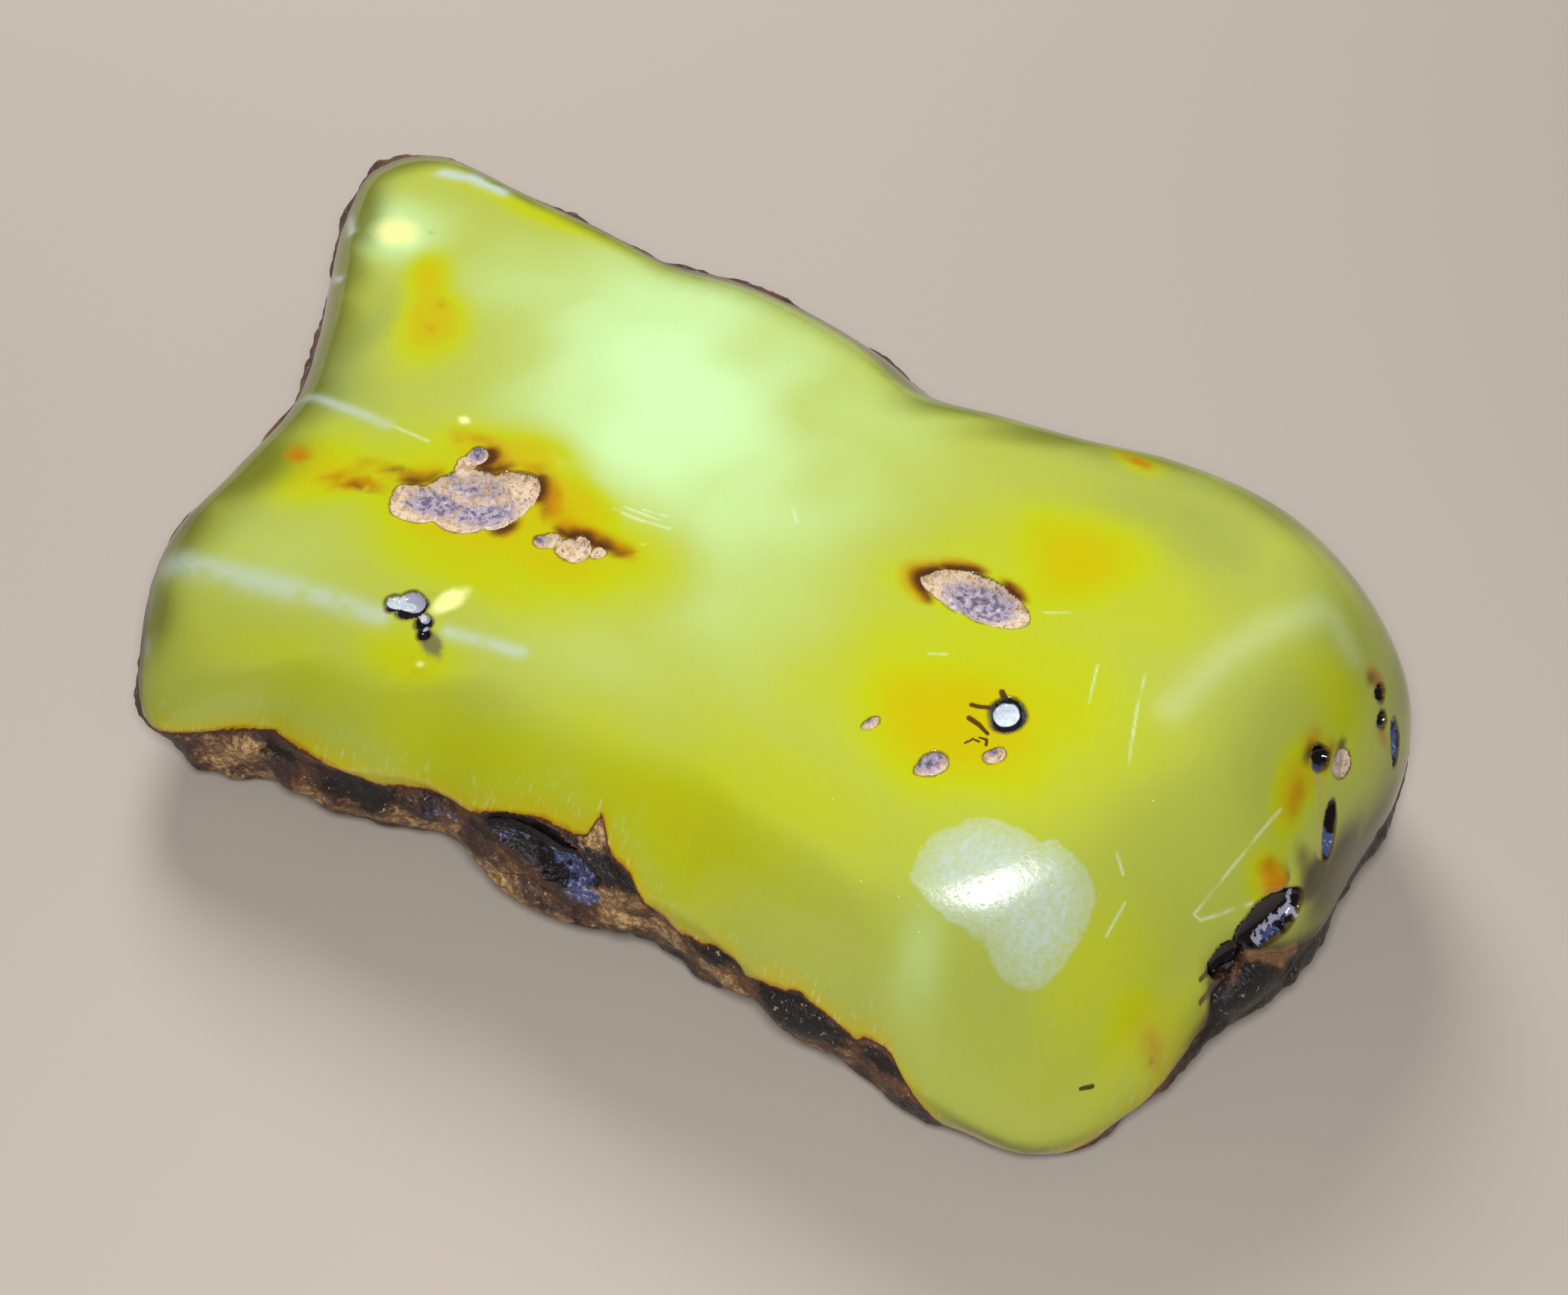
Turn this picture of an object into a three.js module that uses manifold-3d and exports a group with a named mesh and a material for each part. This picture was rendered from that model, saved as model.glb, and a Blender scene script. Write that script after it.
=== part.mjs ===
// A piece of raw amber: one lump with a polished dome on top and weathered crust round its sides and below.
// Lengths are in millimetres. +X runs along its length, +Z is up, and it rests on the plane z = 0.
import * as THREE from "three";
import { mergeVertices } from "three/addons/utils/BufferGeometryUtils.js";
import Module from "manifold-3d";

// The outline seen from above, counter-clockwise from the middle of the thick right end.
const OUTLINE = [
  [29.2, 2.5], [29.3, 6.9], [28.3, 10.3], [25.6, 12.7], [21.8, 14.6], [17.5, 15.0],
  [13.0, 14.3], [8.6, 13.8], [4.5, 13.4], [0.3, 15.0], [-4.0, 16.0], [-8.6, 16.4],
  [-13.2, 16.0], [-17.8, 16.8], [-22.6, 17.4], [-28.0, 18.0], [-30.0, 15.3], [-28.6, 10.9],
  [-26.6, 7.1], [-24.8, 3.6], [-23.2, -0.9], [-23.4, -5.5], [-23.7, -9.6], [-22.0, -13.8],
  [-19.3, -16.4], [-15.0, -15.1], [-10.7, -15.3], [-6.4, -14.1], [-2.0, -14.8], [2.4, -14.8],
  [6.8, -14.4], [11.1, -15.0], [15.2, -15.2], [19.1, -15.6], [23.2, -14.7], [25.9, -11.2],
  [27.2, -6.8], [29.0, -2.3],
];

// How the edge is rounded at some places along the outline. "at" counts outline points.
// The rim is the widest line, roll is how far in the rounding starts above it, turn is how
// many degrees it turns through, and tuck is how far in the underside starts below it.
const EDGES = [
  { at: 0, rim: 5.0, roll: 6.5, turn: 90, tuck: 5.0 },
  { at: 4, rim: 6.6, roll: 5.5, turn: 90, tuck: 5.0 },
  { at: 8, rim: 7.0, roll: 4.0, turn: 90, tuck: 5.0 },
  { at: 13, rim: 6.5, roll: 4.0, turn: 90, tuck: 4.0 },
  { at: 17, rim: 6.0, roll: 3.0, turn: 90, tuck: 3.5 },
  { at: 22, rim: 6.0, roll: 3.0, turn: 88, tuck: 3.5 },
  { at: 24, rim: 5.0, roll: 3.5, turn: 70, tuck: 3.5 },
  { at: 26, rim: 6.6, roll: 4.0, turn: 45, tuck: 3.5 },
  { at: 29, rim: 7.4, roll: 4.0, turn: 40, tuck: 3.5 },
  { at: 32, rim: 5.4, roll: 5.0, turn: 55, tuck: 4.0 },
  { at: 34, rim: 3.2, roll: 7.5, turn: 85, tuck: 6.0 },
  { at: 36, rim: 4.0, roll: 7.5, turn: 90, tuck: 6.0 },
];

// The polished dome. It falls away in a curve beyond the lines in FALLS, and its slope steepens
// at the two faint creases. "facing" is the compass direction, in degrees from +X, that falls.
const CROWN_HEIGHT = 13.4;
const CROWN_RISE = 0.085;
const CROWN_BEND_LONG = 0.0014;
const CROWN_BEND_ACROSS = 0.008;
const CROWN_RIDGE_Y = 3;
const CROWN_UNEVENNESS = 0.15;
const FALLS = [
  { through: [0, -8], facing: -90, bend: 0.02, softness: 1.5 },
  { through: [14, -10], facing: -45, bend: 0.03, softness: 1.5 },
  { through: [20, 0], facing: 0, bend: 0.018, softness: 1.5 },
];
const CREASES = [
  { through: [21.6, 2.6], facing: -18, steeper: 0.13, softness: 0.5 },
  { through: [-12, -10.4], facing: -85, steeper: 0.1, softness: 0.5 },
];

// The underside: a true flat to rest on, and a shallow lift all round it.
const REST_CENTRE = [1, -0.5];
const REST_HALF = [17, 8.5];
const UNDERSIDE_LIFT = 0.8;

// The weathered crust below the rim.
const CRUST_ROUGHNESS = 0.6;
const WALL_BOXINESS = 0.8;

// Hollows, roughly from left to right: the middle, the half length, half width and half depth,
// the compass turn of the length, and how far the mouth leans over towards +X from facing up.
const HOLLOWS = [
  { name: "long crusted pit, left end", at: [-12.4, -4.4, 12.0], half: [1.8, 1.3, 0.9], turn: 20 },
  { name: "long crusted pit, middle", at: [-11.0, -3.5, 12.2], half: [2.3, 1.65, 1.0], turn: 29 },
  { name: "long crusted pit, right end", at: [-9.7, -2.8, 12.2], half: [1.7, 1.5, 0.9], turn: 50 },
  { name: "its upper knob", at: [-11.7, -1.3, 12.4], half: [0.55, 0.6, 0.7], turn: 70 },
  { name: "small crusted pit", at: [-6.2, -4.1, 12.5], half: [0.7, 0.5, 0.6], turn: 30 },
  { name: "crusted pit beside it", at: [-4.7, -4.0, 12.7], half: [1.1, 0.75, 0.7], turn: 15 },
  { name: "shiny hole", at: [-9.95, -9.0, 11.1], half: [0.65, 0.65, 0.7], turn: 10 },
  { name: "its shallow lobe", at: [-10.6, -9.2, 11.0], half: [0.45, 0.42, 0.3], turn: 10 },
  { name: "hole beside it", at: [-8.95, -9.55, 11.2], half: [0.38, 0.38, 0.5], turn: 0 },
  { name: "oval crusted pit", at: [11.6, 0.95, 14.3], half: [2.6, 1.15, 0.9], turn: 3 },
  { name: "round shiny hole", at: [15.4, -3.6, 14.0], half: [0.78, 0.78, 0.8], turn: 0 },
  { name: "grey pit", at: [13.8, -6.8, 13.6], half: [0.8, 0.6, 0.5], turn: 50 },
  { name: "pinhole pit", at: [10.7, -6.3, 13.8], half: [0.4, 0.3, 0.4], turn: 30 },
  { name: "ringed pit", at: [15.8, -5.3, 13.8], half: [0.5, 0.35, 0.4], turn: 20 },
  { name: "end pit, dark half", at: [26.7, 2.5, 11.6], half: [0.5, 0.55, 0.6], turn: 0, lean: 52 },
  { name: "end pit, brown half", at: [27.5, 3.3, 10.7], half: [0.6, 0.7, 0.5], turn: 0, lean: 58 },
  { name: "end slot", at: [28.1, 1.1, 9.2], half: [0.38, 0.6, 1.3], turn: 113, lean: 48 },
  { name: "far end pit, top", at: [27.4, 7.3, 10.9], half: [0.35, 0.4, 0.5], turn: 0, lean: 57 },
  { name: "far end pit, middle", at: [27.9, 6.6, 10.15], half: [0.35, 0.4, 0.5], turn: 0, lean: 60 },
  { name: "far end pit, long", at: [28.6, 7.0, 8.65], half: [0.35, 0.5, 1.15], turn: 130, lean: 34 },
  { name: "black cavity", at: [27.6, -3.4, 8.1], half: [1.1, 1.8, 1.1], turn: -21, lean: 58 },
  { name: "cavity's lower lobe", at: [26.7, -5.6, 7.4], half: [0.8, 0.9, 0.9], turn: -21, lean: 58 },
  { name: "wall cavity", at: [-0.1, -14.9, 6.9], half: [2.9, 1.6, 1.4], turn: 0 },
  { name: "wall hollow", at: [-12.5, -15.5, 5.0], half: [2.1, 0.8, 0.7], turn: 0 },
  { name: "wall pinch", at: [-9.9, -15.6, 4.2], half: [0.8, 0.9, 2.0], turn: 0 },
  { name: "dent below, left", at: [-17.5, 3.0, 0.2], half: [2.6, 1.7, 1.1], turn: 35 },
  { name: "dent below, middle", at: [-3.5, 6.5, 0.0], half: [2.0, 1.3, 0.8], turn: 110 },
  { name: "dent below, right", at: [13.5, -4.5, 0.0], half: [2.4, 1.2, 0.8], turn: 20 },
];

// Lumps fused to the crust, in the same form.
const LUMPS = [
  { name: "left wall lobe", at: [-15.6, -14.7, 4.7], half: [1.9, 1.2, 1.3], turn: 0 },
  { name: "low wall lobe", at: [-13.0, -14.2, 3.3], half: [1.9, 1.2, 1.0], turn: 0 },
  { name: "granular lobe", at: [-6.6, -13.9, 5.2], half: [1.8, 0.9, 0.9], turn: 0 },
  { name: "lip under the wall cavity", at: [-0.5, -13.9, 3.0], half: [3.6, 1.2, 1.0], turn: 0 },
  { name: "speckled lobe", at: [3.9, -14.0, 6.3], half: [1.5, 1.0, 1.1], turn: 0 },
  { name: "middle wall lobe", at: [8.2, -14.0, 5.2], half: [1.6, 0.9, 0.9], turn: 0 },
  { name: "smooth dark lobe", at: [12.5, -14.5, 4.6], half: [2.3, 1.1, 1.4], turn: 0 },
  { name: "last wall lobe", at: [16.4, -14.6, 4.0], half: [1.3, 0.9, 0.9], turn: 0 },
  { name: "amber bump", at: [26.8, -2.3, 9.4], half: [0.9, 0.8, 0.8], turn: 0 },
  { name: "crust lump on the end", at: [27.0, -4.9, 5.0], half: [1.3, 2.4, 1.7], turn: -20 },
];

// The middle of the lump's bounding box in the outline's coordinates, which becomes the origin.
const MIDDLE = [-0.26, 0.81];

// How finely the body and the features are divided.
const DISC_RINGS = 16;
const ROLL_ROWS = 5;
const WALL_ROWS = 6;
const FINE_LUMP_SIZE = 1;
const LUMP_ROUGHNESS = 0.12;

const AMBER_COLOUR = 0xc2cc4a;

// A smooth uneven wave between -1 and 1.
function wave(x, y, z) {
  const first = Math.sin(x + 0.9 * Math.sin(0.8 * y + z));
  const second = Math.sin(1.1 * y + 1.2 * Math.sin(0.7 * z - x));
  const third = Math.sin(1.3 * z + Math.sin(0.9 * x + 0.5 * y));
  return (first + second + third) / 3;
}

// A smooth curve through four values, from the second at s = 0 to the third at s = 1.
function curveThrough(a, b, c, d, s) {
  const slope = c - a;
  const bend = 2 * a - 5 * b + 4 * c - d;
  const twist = 3 * b - a - 3 * c + d;
  return 0.5 * (2 * b + slope * s + bend * s * s + twist * s * s * s);
}

function outlineAt(place) {
  const count = OUTLINE.length;
  const start = Math.floor(place);
  const around = [-1, 0, 1, 2].map((step) => OUTLINE[(start + step + count) % count]);
  const along = (axis) => curveThrough(...around.map((point) => point[axis]), place - start);
  return new THREE.Vector2(along(0), along(1));
}

function edgeAt(place) {
  const next = EDGES.findIndex((edge) => edge.at > place);
  const low = EDGES.at(next === -1 ? -1 : next - 1);
  const high = next === -1 ? { ...EDGES[0], at: OUTLINE.length } : EDGES[next];
  const s = THREE.MathUtils.smoothstep(place, low.at, high.at);
  const mix = (key) => THREE.MathUtils.lerp(low[key], high[key], s);
  return { rim: mix("rim"), roll: mix("roll"), turn: mix("turn"), tuck: mix("tuck") };
}

// How far a point lies beyond a line, rounded off to zero on the near side of it.
function beyond(x, y, { through, facing, softness }) {
  const angle = THREE.MathUtils.degToRad(facing);
  const far = (x - through[0]) * Math.cos(angle) + (y - through[1]) * Math.sin(angle);
  return softness * Math.log1p(Math.exp(far / softness));
}

function crown(x, y) {
  const along = CROWN_HEIGHT + CROWN_RISE * x - CROWN_BEND_LONG * x * x;
  const across = CROWN_BEND_ACROSS * (y - CROWN_RIDGE_Y) ** 2;
  const uneven = CROWN_UNEVENNESS * wave(0.3 * x, 0.35 * y, 0);
  const falls = FALLS.reduce((sum, line) => sum + line.bend * beyond(x, y, line) ** 2, 0);
  const creases = CREASES.reduce((sum, line) => sum + line.steeper * beyond(x, y, line), 0);
  return along - across + uneven - falls - creases;
}

function underside(x, y) {
  const away = Math.hypot((x - REST_CENTRE[0]) / REST_HALF[0], (y - REST_CENTRE[1]) / REST_HALF[1]);
  const lift = THREE.MathUtils.smoothstep(away, 1, 1.6);
  return UNDERSIDE_LIFT * lift * (1 + 0.5 * wave(0.7 * x, 0.7 * y, 0));
}

// A point of the rounded edge: s runs from 0, where the dome ends, to 1 at the rim.
function rollPoint(place, s) {
  const outline = outlineAt(place);
  const edge = edgeAt(place);
  const turn = THREE.MathUtils.degToRad(edge.turn);
  const inward = edge.roll * (1 - Math.sin(s * turn) / Math.sin(turn));
  const spot = outline.clone().multiplyScalar(1 - inward / outline.length());
  const share = (Math.cos(s * turn) - Math.cos(turn)) / (1 - Math.cos(turn));
  const height = edge.rim + (crown(spot.x, spot.y) - edge.rim) * share;
  return [spot.x, spot.y, height];
}

// A point of the crusted wall: s runs from 0 at the rim to 1, where the underside starts.
function wallPoint(place, s) {
  const outline = outlineAt(place);
  const edge = edgeAt(place);
  const angle = (s * Math.PI) / 2;
  const inward = edge.tuck * (1 - Math.cos(angle) ** WALL_BOXINESS);
  const share = 1 - Math.sin(angle) ** WALL_BOXINESS;
  const bare = outline.clone().multiplyScalar(1 - inward / outline.length());
  const rough = CRUST_ROUGHNESS * Math.sin(s * Math.PI);
  const bulge = rough * wave(1.1 * bare.x, 1.1 * bare.y, 1.4 * edge.rim * share);
  const spot = bare.multiplyScalar(1 + bulge / bare.length());
  const low = underside(spot.x, spot.y);
  return [spot.x, spot.y, low + (edge.rim - low) * share];
}

// A ring of points that runs once round the outline.
function ring(count, pointAt) {
  return Array.from({ length: count }, (_, i) => pointAt((i / count) * OUTLINE.length));
}

// A ring of the dome or the underside, at a share of the way out to where the edge starts.
function discRing(step, inset, heightAt) {
  return ring(6 * step, (place) => {
    const outline = outlineAt(place);
    const reach = 1 - edgeAt(place)[inset] / outline.length();
    const spot = outline.multiplyScalar((reach * step) / DISC_RINGS);
    return [spot.x, spot.y, heightAt(spot.x, spot.y)];
  });
}

// Triangles between two rings of equal length, the first above or inside the second.
function bandFaces(first, second, count) {
  const faces = [];
  for (let i = 0; i < count; i++) {
    const next = (i + 1) % count;
    faces.push([first + i, second + i, second + next]);
    faces.push([first + i, second + next, first + next]);
  }
  return faces;
}

// Triangles of one ring of a disc: the outer ring has six points more than the inner one.
function discFaces(inner, outer, step) {
  const innerCount = Math.max(6 * (step - 1), 1);
  const outerCount = 6 * step;
  const faces = [];
  for (let sector = 0; sector < 6; sector++) {
    for (let i = 0; i < step; i++) {
      const out = outer + sector * step + i;
      const outNext = outer + ((sector * step + i + 1) % outerCount);
      const inside = inner + ((sector * (step - 1) + i) % innerCount);
      faces.push([inside, out, outNext]);
      if (i > 0) faces.push([inner + sector * (step - 1) + i - 1, out, inside]);
    }
  }
  return faces;
}

// The whole lump before its hollows: dome, rounded edge, wall and underside as one closed surface.
function bodyGeometry() {
  const points = [];
  const faces = [];
  const add = (made) => points.push(...made) - made.length;
  const around = 6 * DISC_RINGS;

  let inner = add([[0, 0, crown(0, 0)]]);
  for (let step = 1; step <= DISC_RINGS; step++) {
    const outer = add(discRing(step, "roll", crown));
    faces.push(...discFaces(inner, outer, step));
    inner = outer;
  }
  for (let row = 1; row <= ROLL_ROWS; row++) {
    const lower = add(ring(around, (place) => rollPoint(place, row / ROLL_ROWS)));
    faces.push(...bandFaces(inner, lower, around));
    inner = lower;
  }
  for (let row = 1; row <= WALL_ROWS; row++) {
    const lower = add(ring(around, (place) => wallPoint(place, row / WALL_ROWS)));
    faces.push(...bandFaces(inner, lower, around));
    inner = lower;
  }
  for (let step = DISC_RINGS; step >= 1; step--) {
    const smaller = step > 1 ? add(discRing(step - 1, "tuck", underside)) : add([[0, 0, 0]]);
    faces.push(...discFaces(smaller, inner, step).map(([a, b, c]) => [a, c, b]));
    inner = smaller;
  }

  const geometry = new THREE.BufferGeometry();
  geometry.setAttribute("position", new THREE.Float32BufferAttribute(points.flat(), 3));
  geometry.setIndex(faces.flat());
  return geometry;
}

// An uneven egg, used both to cut a hollow and to build up a lump.
function lumpGeometry({ at, half, turn, lean = 0 }) {
  const geometry = new THREE.IcosahedronGeometry(1, Math.max(...half) > FINE_LUMP_SIZE ? 2 : 1);
  const position = geometry.getAttribute("position");
  const point = new THREE.Vector3();
  const seed = at[0] + 2 * at[1];
  for (let i = 0; i < position.count; i++) {
    point.fromBufferAttribute(position, i);
    const uneven = 1 + LUMP_ROUGHNESS * wave(3 * point.x + seed, 3 * point.y, 3 * point.z);
    point.multiplyScalar(uneven);
    position.setXYZ(i, point.x * half[0], point.y * half[1], point.z * half[2]);
  }
  geometry.rotateY(THREE.MathUtils.degToRad(lean));
  geometry.rotateZ(THREE.MathUtils.degToRad(turn));
  geometry.translate(...at);
  return geometry;
}

const wasm = await Module();
wasm.setup();

function toSolid(geometry) {
  geometry.deleteAttribute("normal");
  geometry.deleteAttribute("uv");
  const merged = mergeVertices(geometry, 1e-4);
  return new wasm.Manifold(new wasm.Mesh({
    numProp: 3,
    vertProperties: merged.getAttribute("position").array,
    triVerts: new Uint32Array(merged.index.array),
  }));
}

function toGeometry(solid) {
  const { vertProperties, triVerts } = solid.getMesh();
  const geometry = new THREE.BufferGeometry();
  geometry.setAttribute("position", new THREE.BufferAttribute(vertProperties, 3));
  geometry.setIndex(new THREE.BufferAttribute(triVerts, 1));
  return geometry;
}

let solid = toSolid(bodyGeometry());
for (const lump of LUMPS) solid = solid.add(toSolid(lumpGeometry(lump)));
for (const hollow of HOLLOWS) solid = solid.subtract(toSolid(lumpGeometry(hollow)));

const material = new THREE.MeshStandardMaterial({ color: AMBER_COLOUR, roughness: 0.15, metalness: 0 });
const amber = new THREE.Mesh(toGeometry(solid), material);
amber.name = "amber";
amber.position.set(-MIDDLE[0], -MIDDLE[1], 0);

const group = new THREE.Group();
group.add(amber);
export default group;
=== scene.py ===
# %% [markdown]
# A piece of raw amber, about 59 mm long, that somebody has polished on one face only. The polished
# face is one gentle dome. Round its sides and below, the lump still has the brown weathered crust
# that it came out of the ground with. This lesson builds the lump as a single fine mesh and then
# gives it a single material, because the real thing is one grown piece with nothing joined to it.

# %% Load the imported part
import math

import bmesh
import bpy
import numpy as np
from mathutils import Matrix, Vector, noise


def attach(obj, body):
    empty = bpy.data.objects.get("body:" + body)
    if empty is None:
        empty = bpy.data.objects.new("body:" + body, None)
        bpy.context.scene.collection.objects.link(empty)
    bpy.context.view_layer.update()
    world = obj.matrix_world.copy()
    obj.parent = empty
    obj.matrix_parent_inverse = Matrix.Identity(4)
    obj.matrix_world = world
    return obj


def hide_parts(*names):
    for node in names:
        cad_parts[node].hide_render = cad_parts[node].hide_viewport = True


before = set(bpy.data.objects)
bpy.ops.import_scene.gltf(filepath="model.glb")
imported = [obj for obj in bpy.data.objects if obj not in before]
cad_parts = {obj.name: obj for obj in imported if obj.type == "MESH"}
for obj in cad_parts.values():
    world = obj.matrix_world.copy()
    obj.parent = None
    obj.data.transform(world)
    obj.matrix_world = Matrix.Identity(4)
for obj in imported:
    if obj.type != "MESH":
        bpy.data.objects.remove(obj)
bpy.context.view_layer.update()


# %% [markdown]
# The camera comes first, so that every later choice can be judged from where the piece is seen.
# It looks down at the dome from the front right, from about 12 cm away, which is close enough for
# the near edge to look clearly larger than the far one. All lengths in this lesson are in
# millimetres, because amber is talked about in millimetres, and Blender gets metres at the end.

# %% Camera
MM = 0.001
CAMERA_PLACE = Vector((42.07, -67.97, 105.71)) * MM
CAMERA_TARGET = Vector((3.9, -1.85, 8.0)) * MM

camera_data = bpy.data.cameras.new("camera")
camera_data.sensor_width = 36
camera_data.lens = 65.8
camera_data.clip_start = 0.005
camera_data.clip_end = 10
camera = bpy.data.objects.new("camera", camera_data)
camera.location = CAMERA_PLACE
camera.rotation_mode = "QUATERNION"
camera.rotation_quaternion = (CAMERA_TARGET - CAMERA_PLACE).to_track_quat("-Z", "Y")
bpy.context.scene.collection.objects.link(camera)
bpy.context.scene.camera = camera
print("camera distance in mm:", round((CAMERA_TARGET - CAMERA_PLACE).length / MM))

# %% [markdown]
# The outline of the lump, seen from above, is a waisted blob: a narrow tip at the far left, a
# straight broken left side, and a thick rounded right end. It could be sculpted, but a short list
# of points round the outline keeps the shape in plain sight and easy to correct. A curve through
# the points then gives any place between them. "Place" counts points along the outline.

# %% Outline seen from above
OUTLINE = np.array([
    (29.2, 2.5), (29.3, 6.9), (28.3, 10.3), (25.6, 12.7), (21.8, 14.6), (17.5, 15.0),
    (13.0, 14.3), (8.6, 13.8), (4.5, 13.4), (0.3, 15.0), (-4.0, 16.0), (-8.6, 16.4),
    (-13.2, 16.0), (-17.8, 16.8), (-22.6, 17.4), (-28.0, 18.0), (-30.0, 15.3), (-28.6, 10.9),
    (-26.6, 7.1), (-24.8, 3.6), (-23.2, -0.9), (-23.4, -5.5), (-23.7, -9.6), (-22.0, -13.8),
    (-19.3, -16.4), (-15.0, -15.1), (-10.7, -15.3), (-6.4, -14.1), (-2.0, -14.8), (2.4, -14.8),
    (6.8, -14.4), (11.1, -15.0), (15.2, -15.2), (19.1, -15.6), (23.2, -14.7), (25.9, -11.2),
    (27.2, -6.8), (29.0, -2.3),
])
MIDDLE = np.array((-0.26, 0.81, 0.0))


def outline_at(place):
    start = np.floor(place).astype(int)
    s = (place - start)[:, None]
    a, b, c, d = (OUTLINE[(start + step) % len(OUTLINE)] for step in (-1, 0, 1, 2))
    bend = 2 * a - 5 * b + 4 * c - d
    twist = 3 * b - a - 3 * c + d
    return 0.5 * (2 * b + (c - a) * s + bend * s**2 + twist * s**3)


print("outline points:", len(OUTLINE), "size:", np.ptp(OUTLINE, axis=0).round(1))

# %% [markdown]
# The edge of the dome isn't the same all round. On the far side it rolls over softly, and on the
# near side the polish stops at a crisp line with the rough wall below it. A few stations along
# the outline say how high the rim is, how wide and how far the edge rolls, and how far the
# underside tucks in. The line where the crust begins wanders above and below the rim, because the
# polisher stopped wherever the wheel met a hollow, so it has stations of its own.

# %% Edge and crust line stations
EDGES = np.array([  # place, rim height, roll, degrees of turn, tuck
    (0, 5.0, 6.5, 90, 5.0),
    (4, 6.6, 5.5, 90, 5.0),
    (8, 7.0, 4.0, 90, 5.0),
    (13, 6.5, 4.0, 90, 4.0),
    (17, 6.0, 3.0, 90, 3.5),
    (22, 6.0, 3.0, 88, 3.5),
    (24, 5.0, 3.5, 70, 3.5),
    (26, 6.6, 4.0, 45, 3.5),
    (29, 7.4, 4.0, 40, 3.5),
    (32, 5.4, 5.0, 55, 4.0),
    (34, 3.2, 7.5, 85, 6.0),
    (36, 4.0, 7.5, 90, 6.0),
    (38, 5.0, 6.5, 90, 5.0),
])
CRUST_LINE = np.array([  # place, mm below the rim
    (0, -0.2), (1, 0.1), (1.6, 0.2), (2.2, -1.2), (3, -3.9), (4, -5.6), (6, -6.2), (7, -5.6),
    (8, -5.0), (9, -4.6), (10, -4.8), (12, -4.9), (13, -4.5), (14, -3.6), (15, -2.6),
    (16, -2.4), (17, -2.4), (18.3, -2.3), (19, -3.0), (20, -3.6), (21, -3.3), (22, -1.8),
    (23, -0.5), (23.7, 0.5), (24.2, 0.3), (24.8, -0.1), (25.25, -0.4), (25.7, -0.2), (26.1, 0),
    (26.55, 0.9), (27, 0.45), (27.6, 0), (27.9, -0.7), (28.35, -1.4), (28.75, -1.35),
    (28.88, -1.5), (28.98, -2.6), (29.05, -2.2), (29.15, -1.25), (29.4, -0.65), (29.5, 0),
    (29.6, 0.55), (29.9, 1.25), (30.1, 1.1), (30.35, 0.4), (30.6, 0.15), (30.7, 0.85),
    (30.85, 0.2), (31, -0.2), (31.4, -0.8), (31.75, -0.4), (32, -0.2), (32.2, -0.6),
    (32.45, -0.85), (32.6, 0), (32.8, 0.7), (33.1, 1.5), (34, 1.6), (35, 0.4), (35.5, -0.5),
    (35.9, -1.2), (36, -2.6), (36.2, -3.0), (36.5, -2.9), (36.95, -1.4), (37.3, -0.4), (38, -0.2),
])


def smoothstep(value, low, high):
    s = np.clip((value - low) / (high - low), 0, 1)
    return s * s * (3 - 2 * s)


def edge_at(place):
    after = np.clip(np.searchsorted(EDGES[:, 0], place, side="right"), 1, len(EDGES) - 1)
    low, high = EDGES[after - 1], EDGES[after]
    s = smoothstep(place, low[:, 0], high[:, 0])[:, None]
    return (low + (high - low) * s)[:, 1:].T


print("edge stations:", len(EDGES), "crust line stations:", len(CRUST_LINE))

# %% [markdown]
# The dome is a height above each spot of the outline: a broad crown that bends down gently to both
# sides, and falls away faster beyond three lines near the front and the right end. Two faint
# creases are where the polisher's wheel changed direction. Sums of a few smooth curves give such a
# face without the wobbles that a sculpted one would show in its reflections.

# %% Dome and underside heights
CROWN_HEIGHT = 13.4
CROWN_RISE = 0.085
CROWN_BEND_LONG = 0.0014
CROWN_BEND_ACROSS = 0.008
CROWN_RIDGE_Y = 3
CROWN_UNEVENNESS = 0.15
FALLS = [  # through x, through y, facing, bend, softness
    (0, -8, -90, 0.02, 1.5),
    (14, -10, -45, 0.03, 1.5),
    (20, 0, 0, 0.018, 1.5),
]
CREASES = [  # through x, through y, facing, steeper, softness
    (21.6, 2.6, -18, 0.13, 0.5),
    (-12, -10.4, -85, 0.1, 0.5),
]
REST_CENTRE = np.array((1, -0.5))
REST_HALF = np.array((17, 8.5))
UNDERSIDE_LIFT = 0.8


def wave(x, y, z):
    first = np.sin(x + 0.9 * np.sin(0.8 * y + z))
    second = np.sin(1.1 * y + 1.2 * np.sin(0.7 * z - x))
    third = np.sin(1.3 * z + np.sin(0.9 * x + 0.5 * y))
    return (first + second + third) / 3


def beyond(spot, x, y, facing, softness):
    angle = math.radians(facing)
    far = (spot[:, 0] - x) * math.cos(angle) + (spot[:, 1] - y) * math.sin(angle)
    return softness * np.logaddexp(0, far / softness)


def crown(spot):
    x, y = spot.T
    height = CROWN_HEIGHT + CROWN_RISE * x - CROWN_BEND_LONG * x**2
    height = height - CROWN_BEND_ACROSS * (y - CROWN_RIDGE_Y) ** 2
    height = height + CROWN_UNEVENNESS * wave(0.3 * x, 0.35 * y, 0)
    for at_x, at_y, facing, bend, softness in FALLS:
        height = height - bend * beyond(spot, at_x, at_y, facing, softness) ** 2
    for at_x, at_y, facing, steeper, softness in CREASES:
        height = height - steeper * beyond(spot, at_x, at_y, facing, softness)
    return height


def underside(spot):
    away = np.linalg.norm((spot - REST_CENTRE) / REST_HALF, axis=1)
    uneven = 1 + 0.5 * wave(0.7 * spot[:, 0], 0.7 * spot[:, 1], 0)
    return UNDERSIDE_LIFT * smoothstep(away, 1, 1.6) * uneven


print("dome height at the middle in mm:", crown(np.zeros((1, 2))).round(2))

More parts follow.
